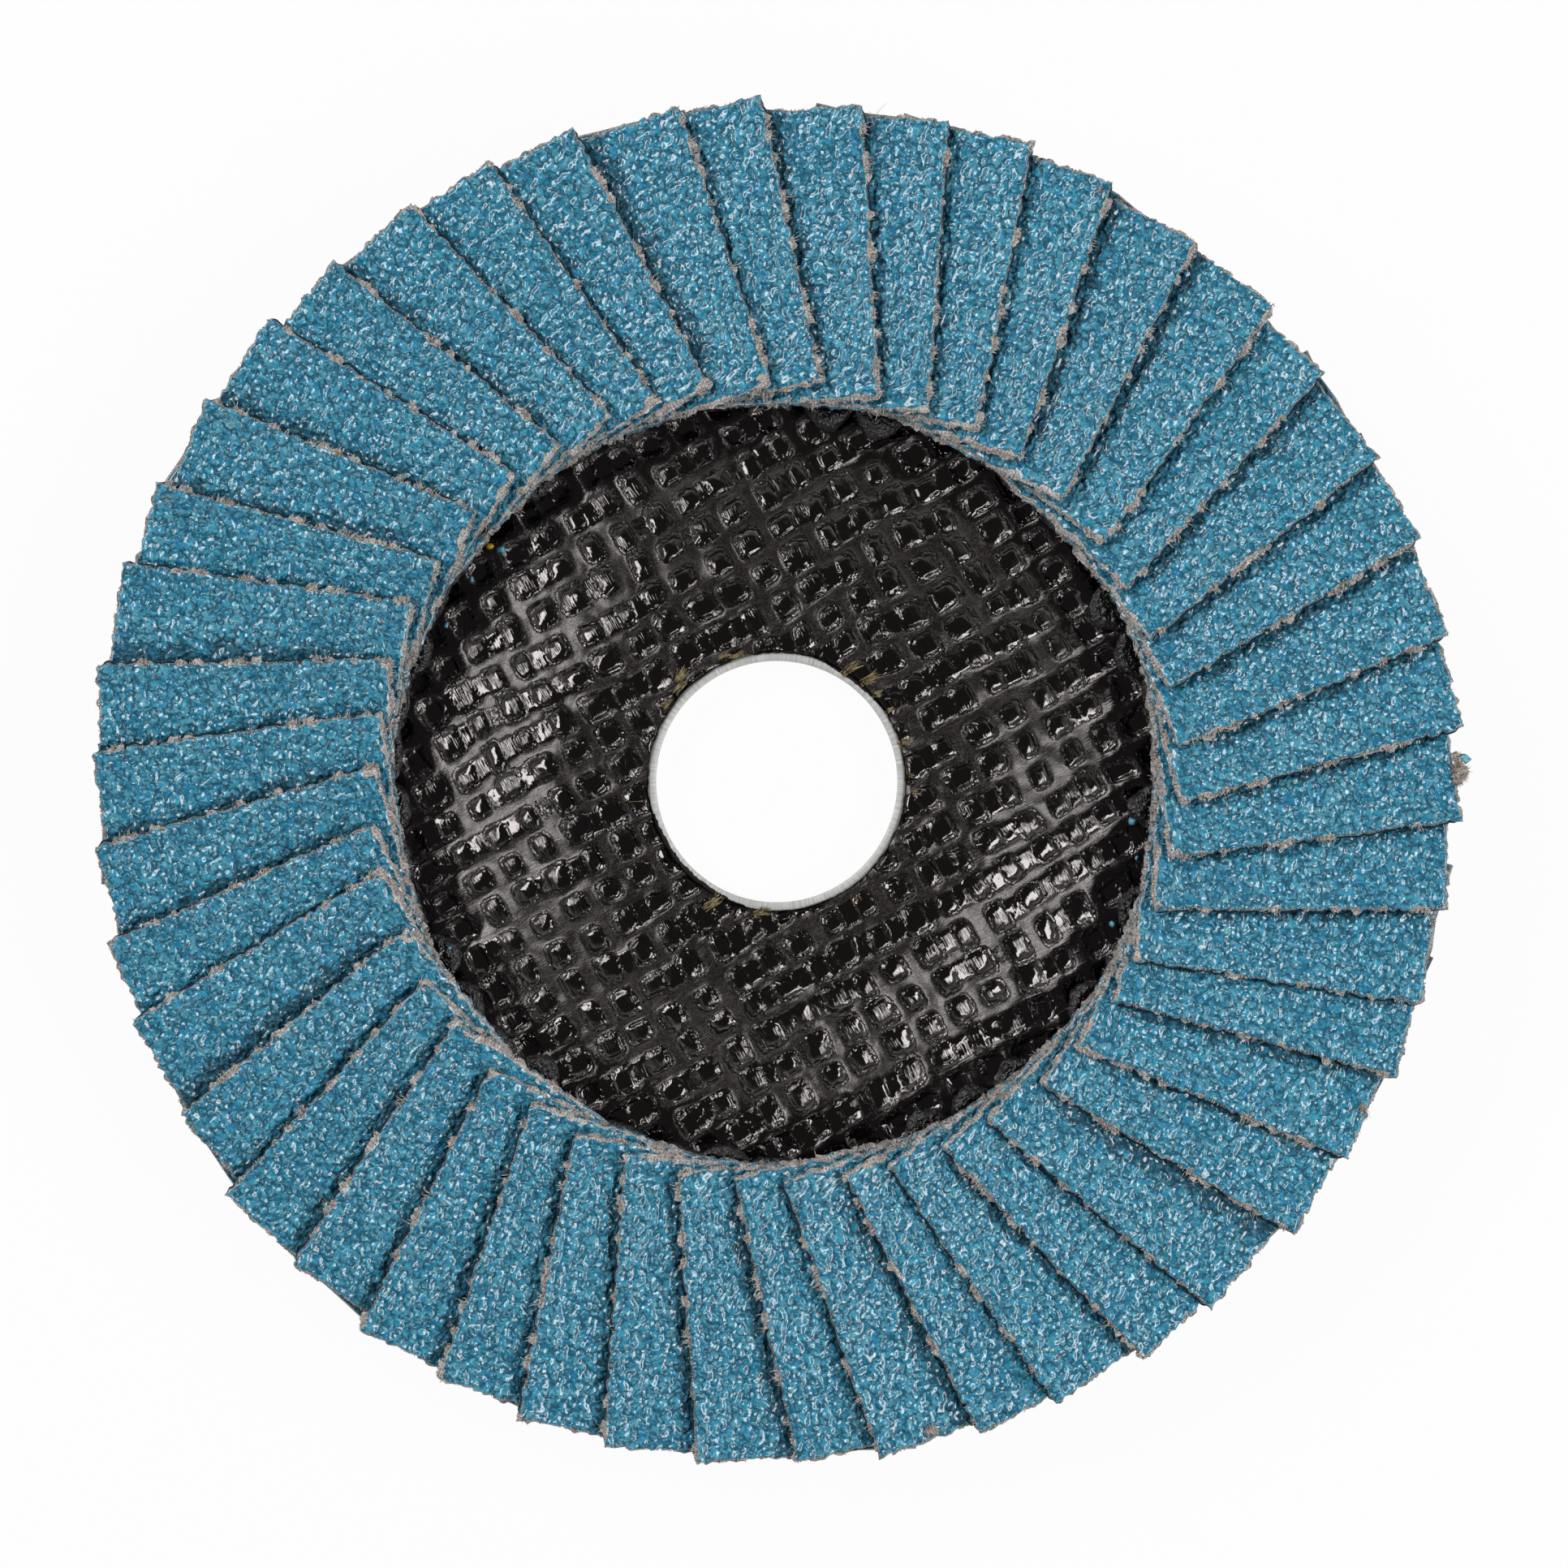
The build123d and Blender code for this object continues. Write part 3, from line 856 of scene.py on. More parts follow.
def glass_mesh(x, y, settings, seed):
    """The print of the glass mesh at points of the plate.

    Yarn coordinates u and v count yarns along and across the turned lattice, bent by
    noise. In each cell lies a rounded square pit, |p|^4 + |q|^4 < 1, where p and q
    are measured from its middle in half widths. Between pits of a row the crossing
    yarns are sunk by a number from 0 to 1. Returns u, v, |p|, |q|, sunk and the
    depth pressed in, from 0 to 1.3.
    """
    cos, sin = np.cos(settings.mesh_angle), np.sin(settings.mesh_angle)
    along, across = x * cos + y * sin, -x * sin + y * cos
    pitch_u, pitch_v = settings.mesh_pitch_along, settings.mesh_pitch_across
    sway, drift = settings.mesh_sway, 6.5 * MM
    u = (along + sway * (2 * noise(along / drift + 9, across / drift + 4, seed) - 1)) / pitch_u
    v = (across + sway * (2 * noise(along / drift + 31, across / drift + 17, seed + 1) - 1)) / pitch_v
    cell_u, cell_v = np.floor(u), np.floor(v)

    def pick(draw, low, high):
        return low + (high - low) * hash01(cell_u, cell_v, seed + draw)

    off_u = (u - cell_u - 0.5) * pitch_u + pick(3, -0.2, 0.2) * MM
    off_v = (v - cell_v - 0.5) * pitch_v + pick(4, -0.2, 0.2) * MM
    p = np.abs(off_u) / (settings.hollow_size / 2 * pick(5, 0.72, 1.15))
    q = np.abs(off_v) / (settings.hollow_size / 2 * pick(6, 0.8, 1.22))
    square = (p**4 + q**4) ** 0.25
    pressed = pick(8, 0.7, 1.0) * (1 - np.minimum(square / 1.06, 1) ** 2.6)

    sunk = smoothstep(0.4, 0.75, hash01(np.round(u), cell_v, seed + 12))
    beside = 1 - smoothstep(0.16, 0.3, np.abs(u - np.round(u)))
    between = 1 - smoothstep(0.26, 0.4, np.abs(v - cell_v - 0.5))
    sunk = sunk * beside * between
    uneven = noise(x / (4 * MM), y / (4 * MM), seed + 14)
    return u, v, p, q, sunk, np.maximum(pressed, 0.4 * sunk) + 0.3 * uneven


def ply_mesh(name, side, rows_at, columns, fade, depth, seed, settings):
    """A ply turned from its closed line, with the glass mesh pressed into one face.

    The line runs out along the printed face, over the rim, back along the plain face
    and through the bore. rows_at are the printed face's radii; depth is how far a
    hollow goes in, and the print dies out over the millimetre past the radius fade.
    """
    radii, heights = face_profile(name, side)
    back_radii, back_heights = face_profile(name, -side)
    rows_at = np.clip(rows_at, radii[0], radii[-1])
    line_r = np.concatenate([rows_at, back_radii[::-1]])
    line_z = np.concatenate([np.interp(rows_at, radii, heights), back_heights[::-1]])
    angle = even_angles(columns)
    r = np.repeat(line_r[:, None], columns, axis=1)
    u, v, p, q, sunk, pressed = glass_mesh(r * np.cos(angle), r * np.sin(angle), settings, seed)
    printed = (np.arange(len(r)) < len(rows_at))[:, None] & (r > radii[0]) & (r < radii[-1])
    amount = np.where(printed, 1 - smoothstep(fade, fade + 1 * MM, r), 0)
    z = line_z[:, None] - side * depth * amount * pressed
    mesh = turned_mesh(name, r, angle, z, settings.plate_sharp_angle, side)
    set_attribute(mesh, "sunk", sunk)
    set_attribute(mesh, "outer", smoothstep(fade - 8.5 * MM, fade - 2 * MM, r) * (side > 0))
    set_uv(mesh, "yarns", u, v)
    set_uv(mesh, "pits", p, q)
    return mesh


# --- Ring and adhesive -----------------------------------------------------------


def ring_mesh(settings):
    """The eyelet turned from its closed line, with an uneven, slightly rolled upper lip.

    The line runs up the bore, over the lip, down the collar's outside and round the flange.
    """
    bore, collar = settings.bore_radius, settings.bore_radius + settings.ring_wall
    top, flange, flange_top = RING_HIGH.z, RING_HIGH.x, settings.flange_thickness
    soft, roll, mark_depth = 0.22 * MM, 0.1 * MM, 0.02 * MM
    line = np.array(
        [
            (bore + soft, 0.0), (bore + 0.3 * soft, 0.3 * soft), (bore, soft), (bore, 0.5 * top),
            (bore, top - soft), (bore + 0.3 * soft, top - 0.3 * soft), (bore + soft, top),
            (collar - 0.8 * soft, top), (collar - 0.2 * soft, top - 0.25 * soft), (collar, top - soft),
            (collar, 0.5 * top), (collar, flange_top), (flange - 0.2 * soft, flange_top),
            (flange, flange_top - 0.3 * soft), (flange, 0.3 * soft), (flange - 0.3 * soft, 0.0),
            (0.5 * (flange + bore), 0.0),
        ]
    )
    angle = even_angles(720)
    waves = 2 * np.abs(noise(angle * 14, 0, 6) - 0.5)
    marks = hash01(np.arange(len(angle)), 0, 5)
    lip, dent = np.zeros((2, len(line), 1))
    lip[6:10, 0] = (0.2, 0.6, 1.0, 0.6)
    dent[6:9] = 1
    r = line[:, :1] - lip * roll * waves
    z = line[:, 1:] - dent * mark_depth * marks
    return turned_mesh("centre_ring", r, angle, z, np.radians(40))


def adhesive_mesh(settings):
    """The adhesive bed turned from a closed line whose inner end swells into one bead under each flap's root.

    A bead's reach follows a half wave round the disc, uneven from bead to bead.
    """
    count, columns_per_bead = len(FLAP_NODES), 18
    angle = even_angles(count * columns_per_bead)
    phase = angle / (2 * np.pi) * count
    bead = np.abs(np.sin(np.pi * phase)) ** 0.7
    uneven, tall = hash01(np.floor(phase), 0, 15), hash01(np.floor(phase), 0, 17)
    jagged = noise(angle * 90, 0, 16) - 0.5
    low, top, rim, root = BED_LOW.z, BED_HIGH.z, BED_HIGH.x, FLAP_LOW.x
    inner = root - settings.bead_reach * bead * (0.15 + 0.85 * uneven**3) - 0.25 * MM * jagged
    crown = settings.bead_height * bead * (0.15 + 0.85 * uneven**2) * (0.5 + 0.5 * tall)
    swell_end = root + 0.7 * MM
    line = []
    # How far out along the swell, and the share of the crown's height there.
    swelling = ((0.0, 0.0), (0.06, 0.6), (0.2, 1.0), (0.42, 0.95), (0.66, 0.6), (0.86, 0.15))
    for number, (share, rise) in enumerate(swelling):
        ripple = 0.12 * MM * (noise(angle * 150, 7.0 * number, 19) - 0.5)
        height = low + 0.04 * MM + (top - low) * min(1, 3 * share) + (crown + ripple) * rise
        line.append((inner + share * (swell_end - inner), height))
    line += [(swell_end + 0.2 * MM, top), (rim, top), (rim, low), (swell_end, low), (inner + 0.15 * MM, low)]
    r, z = (np.array([np.broadcast_to(part, angle.shape) for part in parts]) for parts in zip(*line))
    return turned_mesh("adhesive_bed", r, angle, z, np.radians(70))


# --- Loose threads and crumbs ----------------------------------------------------


def surface_height(x, y):
    """Height in millimetres of the topmost surface at a point, or at the rim beside a point past it."""
    rim_margin = 0.7
    inward = min(1, (FLAP_HIGH.x / MM - rim_margin) / np.hypot(x, y))
    view = bpy.context.evaluated_depsgraph_get()
    start = Vector((x * inward * MM, y * inward * MM, CAD_BOX[1].z + 5 * MM))
    found, place, *_ = bpy.context.scene.ray_cast(view, start, Vector((0, 0, -1)))
    if not found or place.z < CAD_BOX[0].z:
        raise RuntimeError(f"nothing lies under {x:.1f}, {y:.1f} mm")
    return place.z / MM


def tuft_strands(tufts, spread, seed):
    """Strands of many tufts; a tuft is its angle and radius, heading, length, width, count and thickness.

    Angles are in degrees and sizes in millimetres. Each tuft starts on the surface
    below its middle. Its strands turn and curl by the spread: each bends aside with
    the square of the way along it, and climbs less and less.
    """
    steps, taper = np.array([0, 0.4, 0.75, 1.0]), np.array([1.0, 0.95, 0.8, 0.35])
    parts = []
    for index, (angle, radius, heading, reach, width, count, thickness) in enumerate(tufts):
        draw = hash01(np.arange(count), np.arange(7)[:, None], seed + 13 * index) - 0.5
        heading = np.radians(heading)
        middle, ahead = radius * toward(np.radians(angle)), toward(heading)
        aside = np.array([-ahead[1], ahead[0]])
        starts = middle + (draw[0] * width)[:, None] * aside
        starts = starts + (draw[1] * 0.5 * reach - 0.3 * reach)[:, None] * ahead
        level = (surface_height(*middle) + 0.12 * (draw[2] + 0.5)) * MM
        rise = 0.25 * MM * (draw[2] + 0.3)
        height = level[:, None] + rise[:, None] * steps * (2 - steps)
        lengths = (reach * (0.65 + 0.5 * draw[4]) * MM)[:, None]
        bend = lengths * (draw[6] * spread)[:, None] * steps**2
        radii = (thickness / 2 * MM * (1 + 0.6 * draw[5]))[:, None] * taper
        headings = toward(heading + draw[3] * spread).T
        parts.append(strand_points(starts * MM, headings, lengths * steps, bend, height, radii))
    return np.concatenate(parts)


def strands_mesh(name, points):
    """A mesh of closed strands from their points."""
    return make_mesh(name, points, *strand_faces(len(points)))


def crumbs_mesh(name, crumbs, seed):
    """Small lumps of broken grain: eight-sided double cones of uneven radius.

    A crumb is its angle in degrees, then radius and size in millimetres. It lies on
    the surface below, or past the rim level with it.
    """
    count = 8
    sides = np.arange(count)
    after = (sides + 1) % count
    points, quads, fans = [], [], []
    for index, (angle, radius, size) in enumerate(crumbs):
        around = sides * 2 * np.pi / count + index
        uneven = 0.55 + 0.5 * hash01(sides, index, seed) + 0.5 * np.abs(np.cos(around + index))
        middle = radius * toward(np.radians(angle))
        height = surface_height(*middle) - 0.2 * size
        rough = 0.8 + 0.4 * hash01(sides, sides, seed + index)
        for share, level in ((1.0, 0.25), (0.62, 0.6)):
            flat = middle + toward(around).T * (size / 2 * uneven * share)[:, None]
            points.append(np.column_stack([flat, height + size * level * rough]))
        points.append([[*middle, height], [*middle, height + size * 0.72]])
        base = index * (2 * count + 2)
        under, over = np.full(count, 2 * count), np.full(count, 2 * count + 1)
        quads.append(base + np.stack([sides, after, after + count, sides + count], axis=1))
        fans.append(base + np.stack([after, sides, under], axis=1))
        fans.append(base + np.stack([sides + count, after + count, over], axis=1))
    return make_mesh(name, np.concatenate(points) * MM, np.concatenate(quads), np.concatenate(fans))


# --- Settings --------------------------------------------------------------------


def length(name, description, millimetres):
    """A length property, its default given in millimetres."""
    default = millimetres * MM
    return FloatProperty(name=name, description=description, default=default, unit="LENGTH", precision=5)


def turn(name, description, radians):
    """An angle property."""
    return FloatProperty(name=name, description=description, default=radians, subtype="ANGLE")


def light(name, description, default, **options):
    """A property for how strong a light is."""
    return FloatProperty(name=name, description=description, default=default, **options)


def color(name, description, default):
    """A linear colour property."""
    return FloatVectorProperty(
        name=name, description=description, default=default, size=3, subtype="COLOR", min=0, max=1
    )


class FlapSettings(bpy.types.PropertyGroup):
    """Sizes and colours of the coated cloth flaps."""

    flap_gap: length("Flap gap", "Space between one flap and the next", 0.03)
    grain_pitch: length("Grain pitch", "Distance from one lump of grain to the next", 0.62)
    grain_depth: length("Grain depth", "Depth of the valleys between lumps", 0.34)
    coat_depth: length("Coat depth", "Thickness of grain and resin over the cloth", 0.45)
    cover_margin: length("Cover margin", "Grain modelled past the next flap's edge", 1.3)
    ragged_edge: length("Ragged edge", "How far a cut edge wanders", 0.2)
    root_wear: length("Root wear", "Cloth bared along a flap's root", 0.34)
    corner_wear: length("Corner wear", "Cloth bared at a flap's inner corner", 1.3)
    fray: length("Fray", "How far the cut cloth stands out of its edge", 0.38)
    # Painted shadow: the toe is a foot under a free edge, painted near black.
    shadow_toe: length("Shadow toe", "How far a cut edge's stained foot stands out", 0.2)
    fibre_length: length("Fibre length", "Typical length of a loose strand", 0.55)
    fibre_radius: length("Fibre radius", "Half the width of a loose strand", 0.042)
    edge_curl: length("Edge curl", "How far a free edge may lift", 0.42)
    reach_jitter: length("Reach jitter", "How far a flap is set in or out", 0.35)
    angle_jitter: turn("Angle jitter", "How far a flap is set off its place", 0.013)
    turn_jitter: turn("Turn jitter", "How far a flap is turned in its plane", 0.012)
    grain_rows: IntProperty(name="Grain rows", description="Points along a flap", default=150, min=20)
    grain_columns: IntProperty(
        name="Grain columns", description="Points across the open strip", default=52, min=10
    )
    fibres_per_flap: IntProperty(name="Fibres", description="Loose strands on each flap", default=230, min=0)
    # Painted shade on low grain, and a random deeper tone in patches.
    deep_tone_and_shade_color: color("Deep", "Resin low between lumps", (0.009, 0.18, 0.315))
    # Painted shade in the cracks between grains.
    valley_shade_color: color("Valley", "Resin in the cracks between grains", (0.01, 0.085, 0.14))
    grain_color: color("Grain", "Resin over the grains", (0.045, 0.385, 0.585))
    pale_grain_color: color("Pale grain", "Thin resin on the grains' tops", (0.11, 0.42, 0.56))
    thick_resin_color: color("Thick resin", "Pools of stronger blue", (0.01, 0.26, 0.5))
    # Painted highlight: crescents on the grains.
    rim_color: color("Glint", "Pale rims of the grains", (0.33, 0.65, 0.75))
    # Painted shadow on the grain beside the next flap's free edge.
    edge_shadow_color: color("Edge shadow", "Stained grain beside the next flap", (0.006, 0.05, 0.085))
    chipped_grain_color: color("Chipped grain", "Grains with their resin knocked off", (0.36, 0.24, 0.19))
    cloth_color: color("Cloth", "Cut cloth", (0.67, 0.62, 0.58))
    tuft_color: color("Tufts", "Clean ends of the cloth's threads", (0.9, 0.87, 0.84))
    cloth_shadow_color: color("Cloth shadow", "Between the cloth's threads", (0.165, 0.142, 0.127))
    # Painted shadow under a flap's free edge.
    under_edge_shadow_color: color("Under-edge shadow", "The cloth's darkened lower edge", (0.015, 0.045, 0.07))


class PlateSettings(bpy.types.PropertyGroup):
    """Sizes and colours of the backing plate and its adhesive."""

    mesh_angle: turn("Mesh angle", "Direction of the mesh's rows", np.radians(28.5))
    mesh_pitch_along: length("Pitch along", "From one crossing yarn to the next", 3.35)
    mesh_pitch_across: length("Pitch across", "From one row to the next", 3.13)
    mesh_sway: length("Mesh sway", "How far the yarns wander", 0.42)
    hollow_size: length("Hollow size", "Width of a hollow between yarns", 2.6)
    hollow_depth: length("Hollow depth", "Depth of a hollow", 0.5)
    back_hollow_depth: length("Back hollow depth", "Depth of a hollow on the back", 0.35)
    plate_sharp_angle: turn("Sharp angle", "Steeper edges are shaded sharp", np.radians(75))
    land_color: color("Land", "Flat resin over the yarns", (0.0065, 0.005, 0.0045))
    land_dust_color: color("Land dust", "Dull film on the lands", (0.025, 0.02, 0.018))
    hollow_color: color("Hollow", "Glossy resin in the hollows", (0.0035, 0.0019, 0.0022))
    adhesive_color: color("Adhesive", "Cured adhesive", (0.0035, 0.0019, 0.0022))
    adhesive_dust_color: color("Adhesive dust", "Dull film on the adhesive", (0.012, 0.01, 0.01))
    bead_reach: length("Bead reach", "How far adhesive bulges past a root", 2.6)
    bead_height: length("Bead height", "Height of a bead above the bed", 0.75)


class TrimmingSettings(bpy.types.PropertyGroup):
    """Colours of the loose strands and crumbs."""

    glass_color: color("Glass strands", "Cut glass yarn, stained by resin", (0.42, 0.34, 0.18))
    glass_shadow_color: color("Glass shadow", "Between the strands", (0.14, 0.1, 0.045))
    cotton_color: color("Cotton", "Pulled threads of the cloth", (0.62, 0.56, 0.51))
    cotton_shadow_color: color("Cotton shadow", "Soiled threads", (0.24, 0.2, 0.17))
    chip_color: color("Chips", "Crumbs of blue grain", (0.24, 0.54, 0.68))
    chip_shadow_color: color("Chip shadow", "Darker crumbs", (0.04, 0.24, 0.36))
    resin_color: color("Resin crumb", "Crumb of yellow resin", (0.6, 0.38, 0.02))
    resin_shadow_color: color("Resin shadow", "Dark side of the crumb", (0.3, 0.17, 0.01))


class RingSettings(bpy.types.PropertyGroup):
    """Sizes and colours of the bore's lining."""

    bore_radius: length("Bore radius", "Radius of the bore", 11.115)
    ring_wall: length("Wall", "Thickness of the collar", 0.8)
    flange_thickness: length("Flange", "Thickness of the flange", 0.5)
    metal_color: color("Metal", "Matte metal", (0.74, 0.74, 0.72))
    metal_shadow_color: color("Metal shadow", "Marks in the metal", (0.5, 0.5, 0.48))
    smear_color: color("Smear", "Black resin smeared over the lip", (0.012, 0.009, 0.009))


class StageSettings(bpy.types.PropertyGroup):
    """The floor, lamps and camera."""

    camera_height: length("Camera height", "Distance above the disc's back", 1030)
    view_width: length("View width", "Width seen at the hub", 144.2)
    camera_x: length("Camera x", "Aim to the right of the axis", 0.67)
    camera_y: length("Camera y", "Aim above the axis", -0.22)
    lamp_distance: length("Lamp distance", "From the disc to each lamp", 1100)
    lamp_width: length("Lamp width", "Width of each lamp", 900)
    lamp_height: length("Lamp height", "Height of each lamp", 280)
    right_power: light("Right lamp", "Power of the right lamp", 7.3, unit="POWER")
    left_power: light("Left lamp", "Power of the left lamp", 7.3, unit="POWER")
    overhead_fill: light("Overhead fill", "Fill light from above", 0.06, min=0)
    side_fill: light("Side fill", "Fill light from all round", 0.9, min=0)


# --- Operators -------------------------------------------------------------------

# Angle, radius, heading, length, width, count and thickness, in degrees and millimetres.
BORE_TUFTS = (
    (107, 12.15, 28, 1.7, 0.5, 30, 0.09), (113, 12.6, 32, 1.3, 0.4, 16, 0.08),
    (132.5, 13.1, 58, 1.5, 0.6, 30, 0.09), (136, 12.4, 52, 1.3, 0.5, 24, 0.09),
    (145, 12.35, 40, 1.1, 0.5, 22, 0.08), (57, 12.35, 38, 1.7, 0.7, 40, 0.1),
    (47.5, 12.75, 20, 1.9, 0.7, 40, 0.1), (41, 12.3, 12, 1.0, 0.5, 18, 0.08),
    (32, 12.3, 30, 0.9, 0.5, 14, 0.08), (17, 12.25, 30, 1.2, 0.6, 26, 0.09),
    (2.5, 12.2, 10, 0.8, 0.4, 12, 0.07), (356, 12.8, -5, 1.3, 0.5, 14, 0.07),
    (188, 13.2, 4, 2.2, 0.1, 4, 0.06), (242, 12.7, 34, 1.9, 0.7, 36, 0.1),
    (263, 12.15, 18, 1.8, 0.5, 30, 0.1), (305, 12.9, 118, 1.0, 0.5, 8, 0.06),
)
RIM_THREADS = (
    (81.6, 61.2, 84, 2.4, 0.1, 4, 0.06), (330.8, 61.3, 262, 1.6, 0.5, 24, 0.07),
    (61.5, 61.4, 40, 1.0, 0.5, 12, 0.06), (155, 61.3, 170, 0.9, 0.6, 12, 0.06),
    (283.5, 60.9, 300, 1.2, 0.9, 40, 0.08), (215, 61.3, 190, 0.9, 0.5, 10, 0.06),
)
RIM_WOOL = (
    (2.3, 61.9, -60, 0.4, 0.4, 50, 0.14), (1.9, 62.0, -70, 0.4, 0.6, 80, 0.14),
    (1.4, 62.15, -60, 0.4, 0.9, 130, 0.15), (1.0, 62.3, -70, 0.4, 1.1, 150, 0.15),
    (0.6, 62.4, -60, 0.42, 1.3, 170, 0.15), (0.2, 62.5, -50, 0.42, 1.1, 130, 0.15),
    (-0.1, 62.1, -90, 0.4, 0.6, 60, 0.14),
)
INNER_THREADS = (
    (287, 34.9, 150, 3.6, 0.1, 4, 0.07), (92, 35.2, 92, 1.6, 0.2, 10, 0.07),
    (139.5, 34.9, 250, 1.2, 0.3, 20, 0.09),
)
# Angle in degrees, then radius and size in millimetres.
BLUE_CRUMBS = (
    (140, 33.0, 0.75), (146.5, 33.5, 0.5), (154.6, 33.5, 0.55), (353.6, 32.8, 0.8),
    (337, 33.4, 0.6), (348, 33.7, 0.4), (207, 33.6, 0.4), (1.9, 62.85, 0.85),
)
RESIN_CRUMBS = ((140.6, 34.0, 0.65),)


class FLAPDISC_OT_plate(bpy.types.Operator):
    """Builds the printed front and back plies, and finishes the middle one."""

    bl_idname = "flapdisc.plate"
    bl_label = "Build backing plate"

    def execute(self, context):
        settings = context.scene.flapdisc_plate
        material = laminate_material(settings)
        bore, rim = face_profile("glass_ply_front", 1)[0][[0, -1]]
        shown = FLAP_LOW.x + 0.5 * MM
        front = np.concatenate([np.arange(bore, shown, 0.24 * MM), np.linspace(shown, rim, 6)])
        back = np.append(np.arange(bore, rim, 0.42 * MM), rim)
        for face, side, rows_at, columns, fade, depth, seed in (
            ("front", 1, front, 820, shown, settings.hollow_depth, 301),
            ("back", -1, back, 780, rim, settings.back_hollow_depth, 401),
        ):
            node = "glass_ply_" + face
            mesh = ply_mesh(node, side, rows_at, columns, fade, depth, seed, settings)
            add_piece(f"printed_{face}_ply", mesh, material, "glass_laminate", node)
        finish_node("glass_ply_middle", material)
        return {"FINISHED"}


class FLAPDISC_OT_ring(bpy.types.Operator):
    """Builds the metal eyelet that lines the bore."""

    bl_idname = "flapdisc.ring"
    bl_label = "Build centre ring"

    def execute(self, context):
        settings = context.scene.flapdisc_ring
        add_piece("eyelet_ring", ring_mesh(settings), ring_material(settings), "ring_metal", "centre_ring")
        return {"FINISHED"}


class FLAPDISC_OT_adhesive(bpy.types.Operator):
    """Builds the adhesive bed with its beads, and finishes the ramps under the flaps."""

    bl_idname = "flapdisc.adhesive"
    bl_label = "Build adhesive"

    def execute(self, context):
        settings = context.scene.flapdisc_plate
        material = adhesive_material(settings)
        add_piece("beaded_adhesive", adhesive_mesh(settings), material, "adhesive", "adhesive_bed")
        finish_node("adhesive_ramps", material)
        return {"FINISHED"}


class FLAPDISC_OT_flaps(bpy.types.Operator):
    """Builds the coated cloth flaps, each nested on the one before."""

    bl_idname = "flapdisc.flaps"
    bl_label = "Build flaps"

    def execute(self, context):
        settings = context.scene.flapdisc_flaps
        material = abrasive_material(settings)
        for index, node in enumerate(FLAP_NODES):
            shape = FlapShape(index, settings)
            piece = add_piece("coated_" + node, flap_mesh(shape, settings), material, "abrasive_cloth", node)
        return {"FINISHED"}


class FLAPDISC_OT_trimmings(bpy.types.Operator):
    """Adds the cut glass tufts round the bore, threads at the flaps' ends, and crumbs of grain."""

    bl_idname = "flapdisc.trimmings"
    bl_label = "Add threads and crumbs"

    def execute(self, context):
        tints = context.scene.flapdisc_trimmings
        glass = fibre_material("Cut glass strands", tints.glass_color, tints.glass_shadow_color)
        cotton = fibre_material("Cotton threads", tints.cotton_color, tints.cotton_shadow_color)
        chips = fibre_material("Blue grain crumbs", tints.chip_color, tints.chip_shadow_color)
        resin = fibre_material("Yellow resin crumb", tints.resin_color, tints.resin_shadow_color)
        tufts = strands_mesh("bore_glass_tufts", tuft_strands(BORE_TUFTS, 0.45, 501))
        add_piece("bore_glass_tufts", tufts, glass, "glass_laminate")
        kinds = ((RIM_THREADS, 1.1, 601), (RIM_WOOL, 3.5, 651), (INNER_THREADS, 0.5, 701))
        threads = np.concatenate([tuft_strands(*kind) for kind in kinds])
        add_piece("cotton_threads", strands_mesh("cotton_threads", threads), cotton, "abrasive_cloth")
        add_piece("grain_crumbs", crumbs_mesh("grain_crumbs", BLUE_CRUMBS, 801), chips, "abrasive_cloth")
        add_piece("resin_crumb", crumbs_mesh("resin_crumb", RESIN_CRUMBS, 811), resin, "adhesive")
        return {"FINISHED"}


class FLAPDISC_OT_stage(bpy.types.Operator):
    """Sets the pale floor, the soft lamps and the camera straight above."""

    bl_idname = "flapdisc.stage"
    bl_label = "Set the stage"

    def execute(self, context):
        settings, scene = context.scene.flapdisc_stage, context.scene
        scene.view_settings.view_transform = "Standard"
        build_floor(CAD_BOX[0].z - 0.02 * MM)
        build_world(scene, settings)
        add_lamp("Right lamp", np.radians(-12), settings.right_power, settings)
        add_lamp("Left lamp", np.radians(150), settings.left_power, settings)
        camera = bpy.data.cameras.new("Camera")
        camera.sensor_width = 36
        depth = settings.camera_height - RING_HIGH.z
        camera.lens = camera.sensor_width * depth / settings.view_width
        holder = bpy.data.objects.new("Camera", camera)
        holder.location = (settings.camera_x, settings.camera_y, settings.camera_height)
        scene.collection.objects.link(holder)
        scene.camera = holder
        return {"FINISHED"}


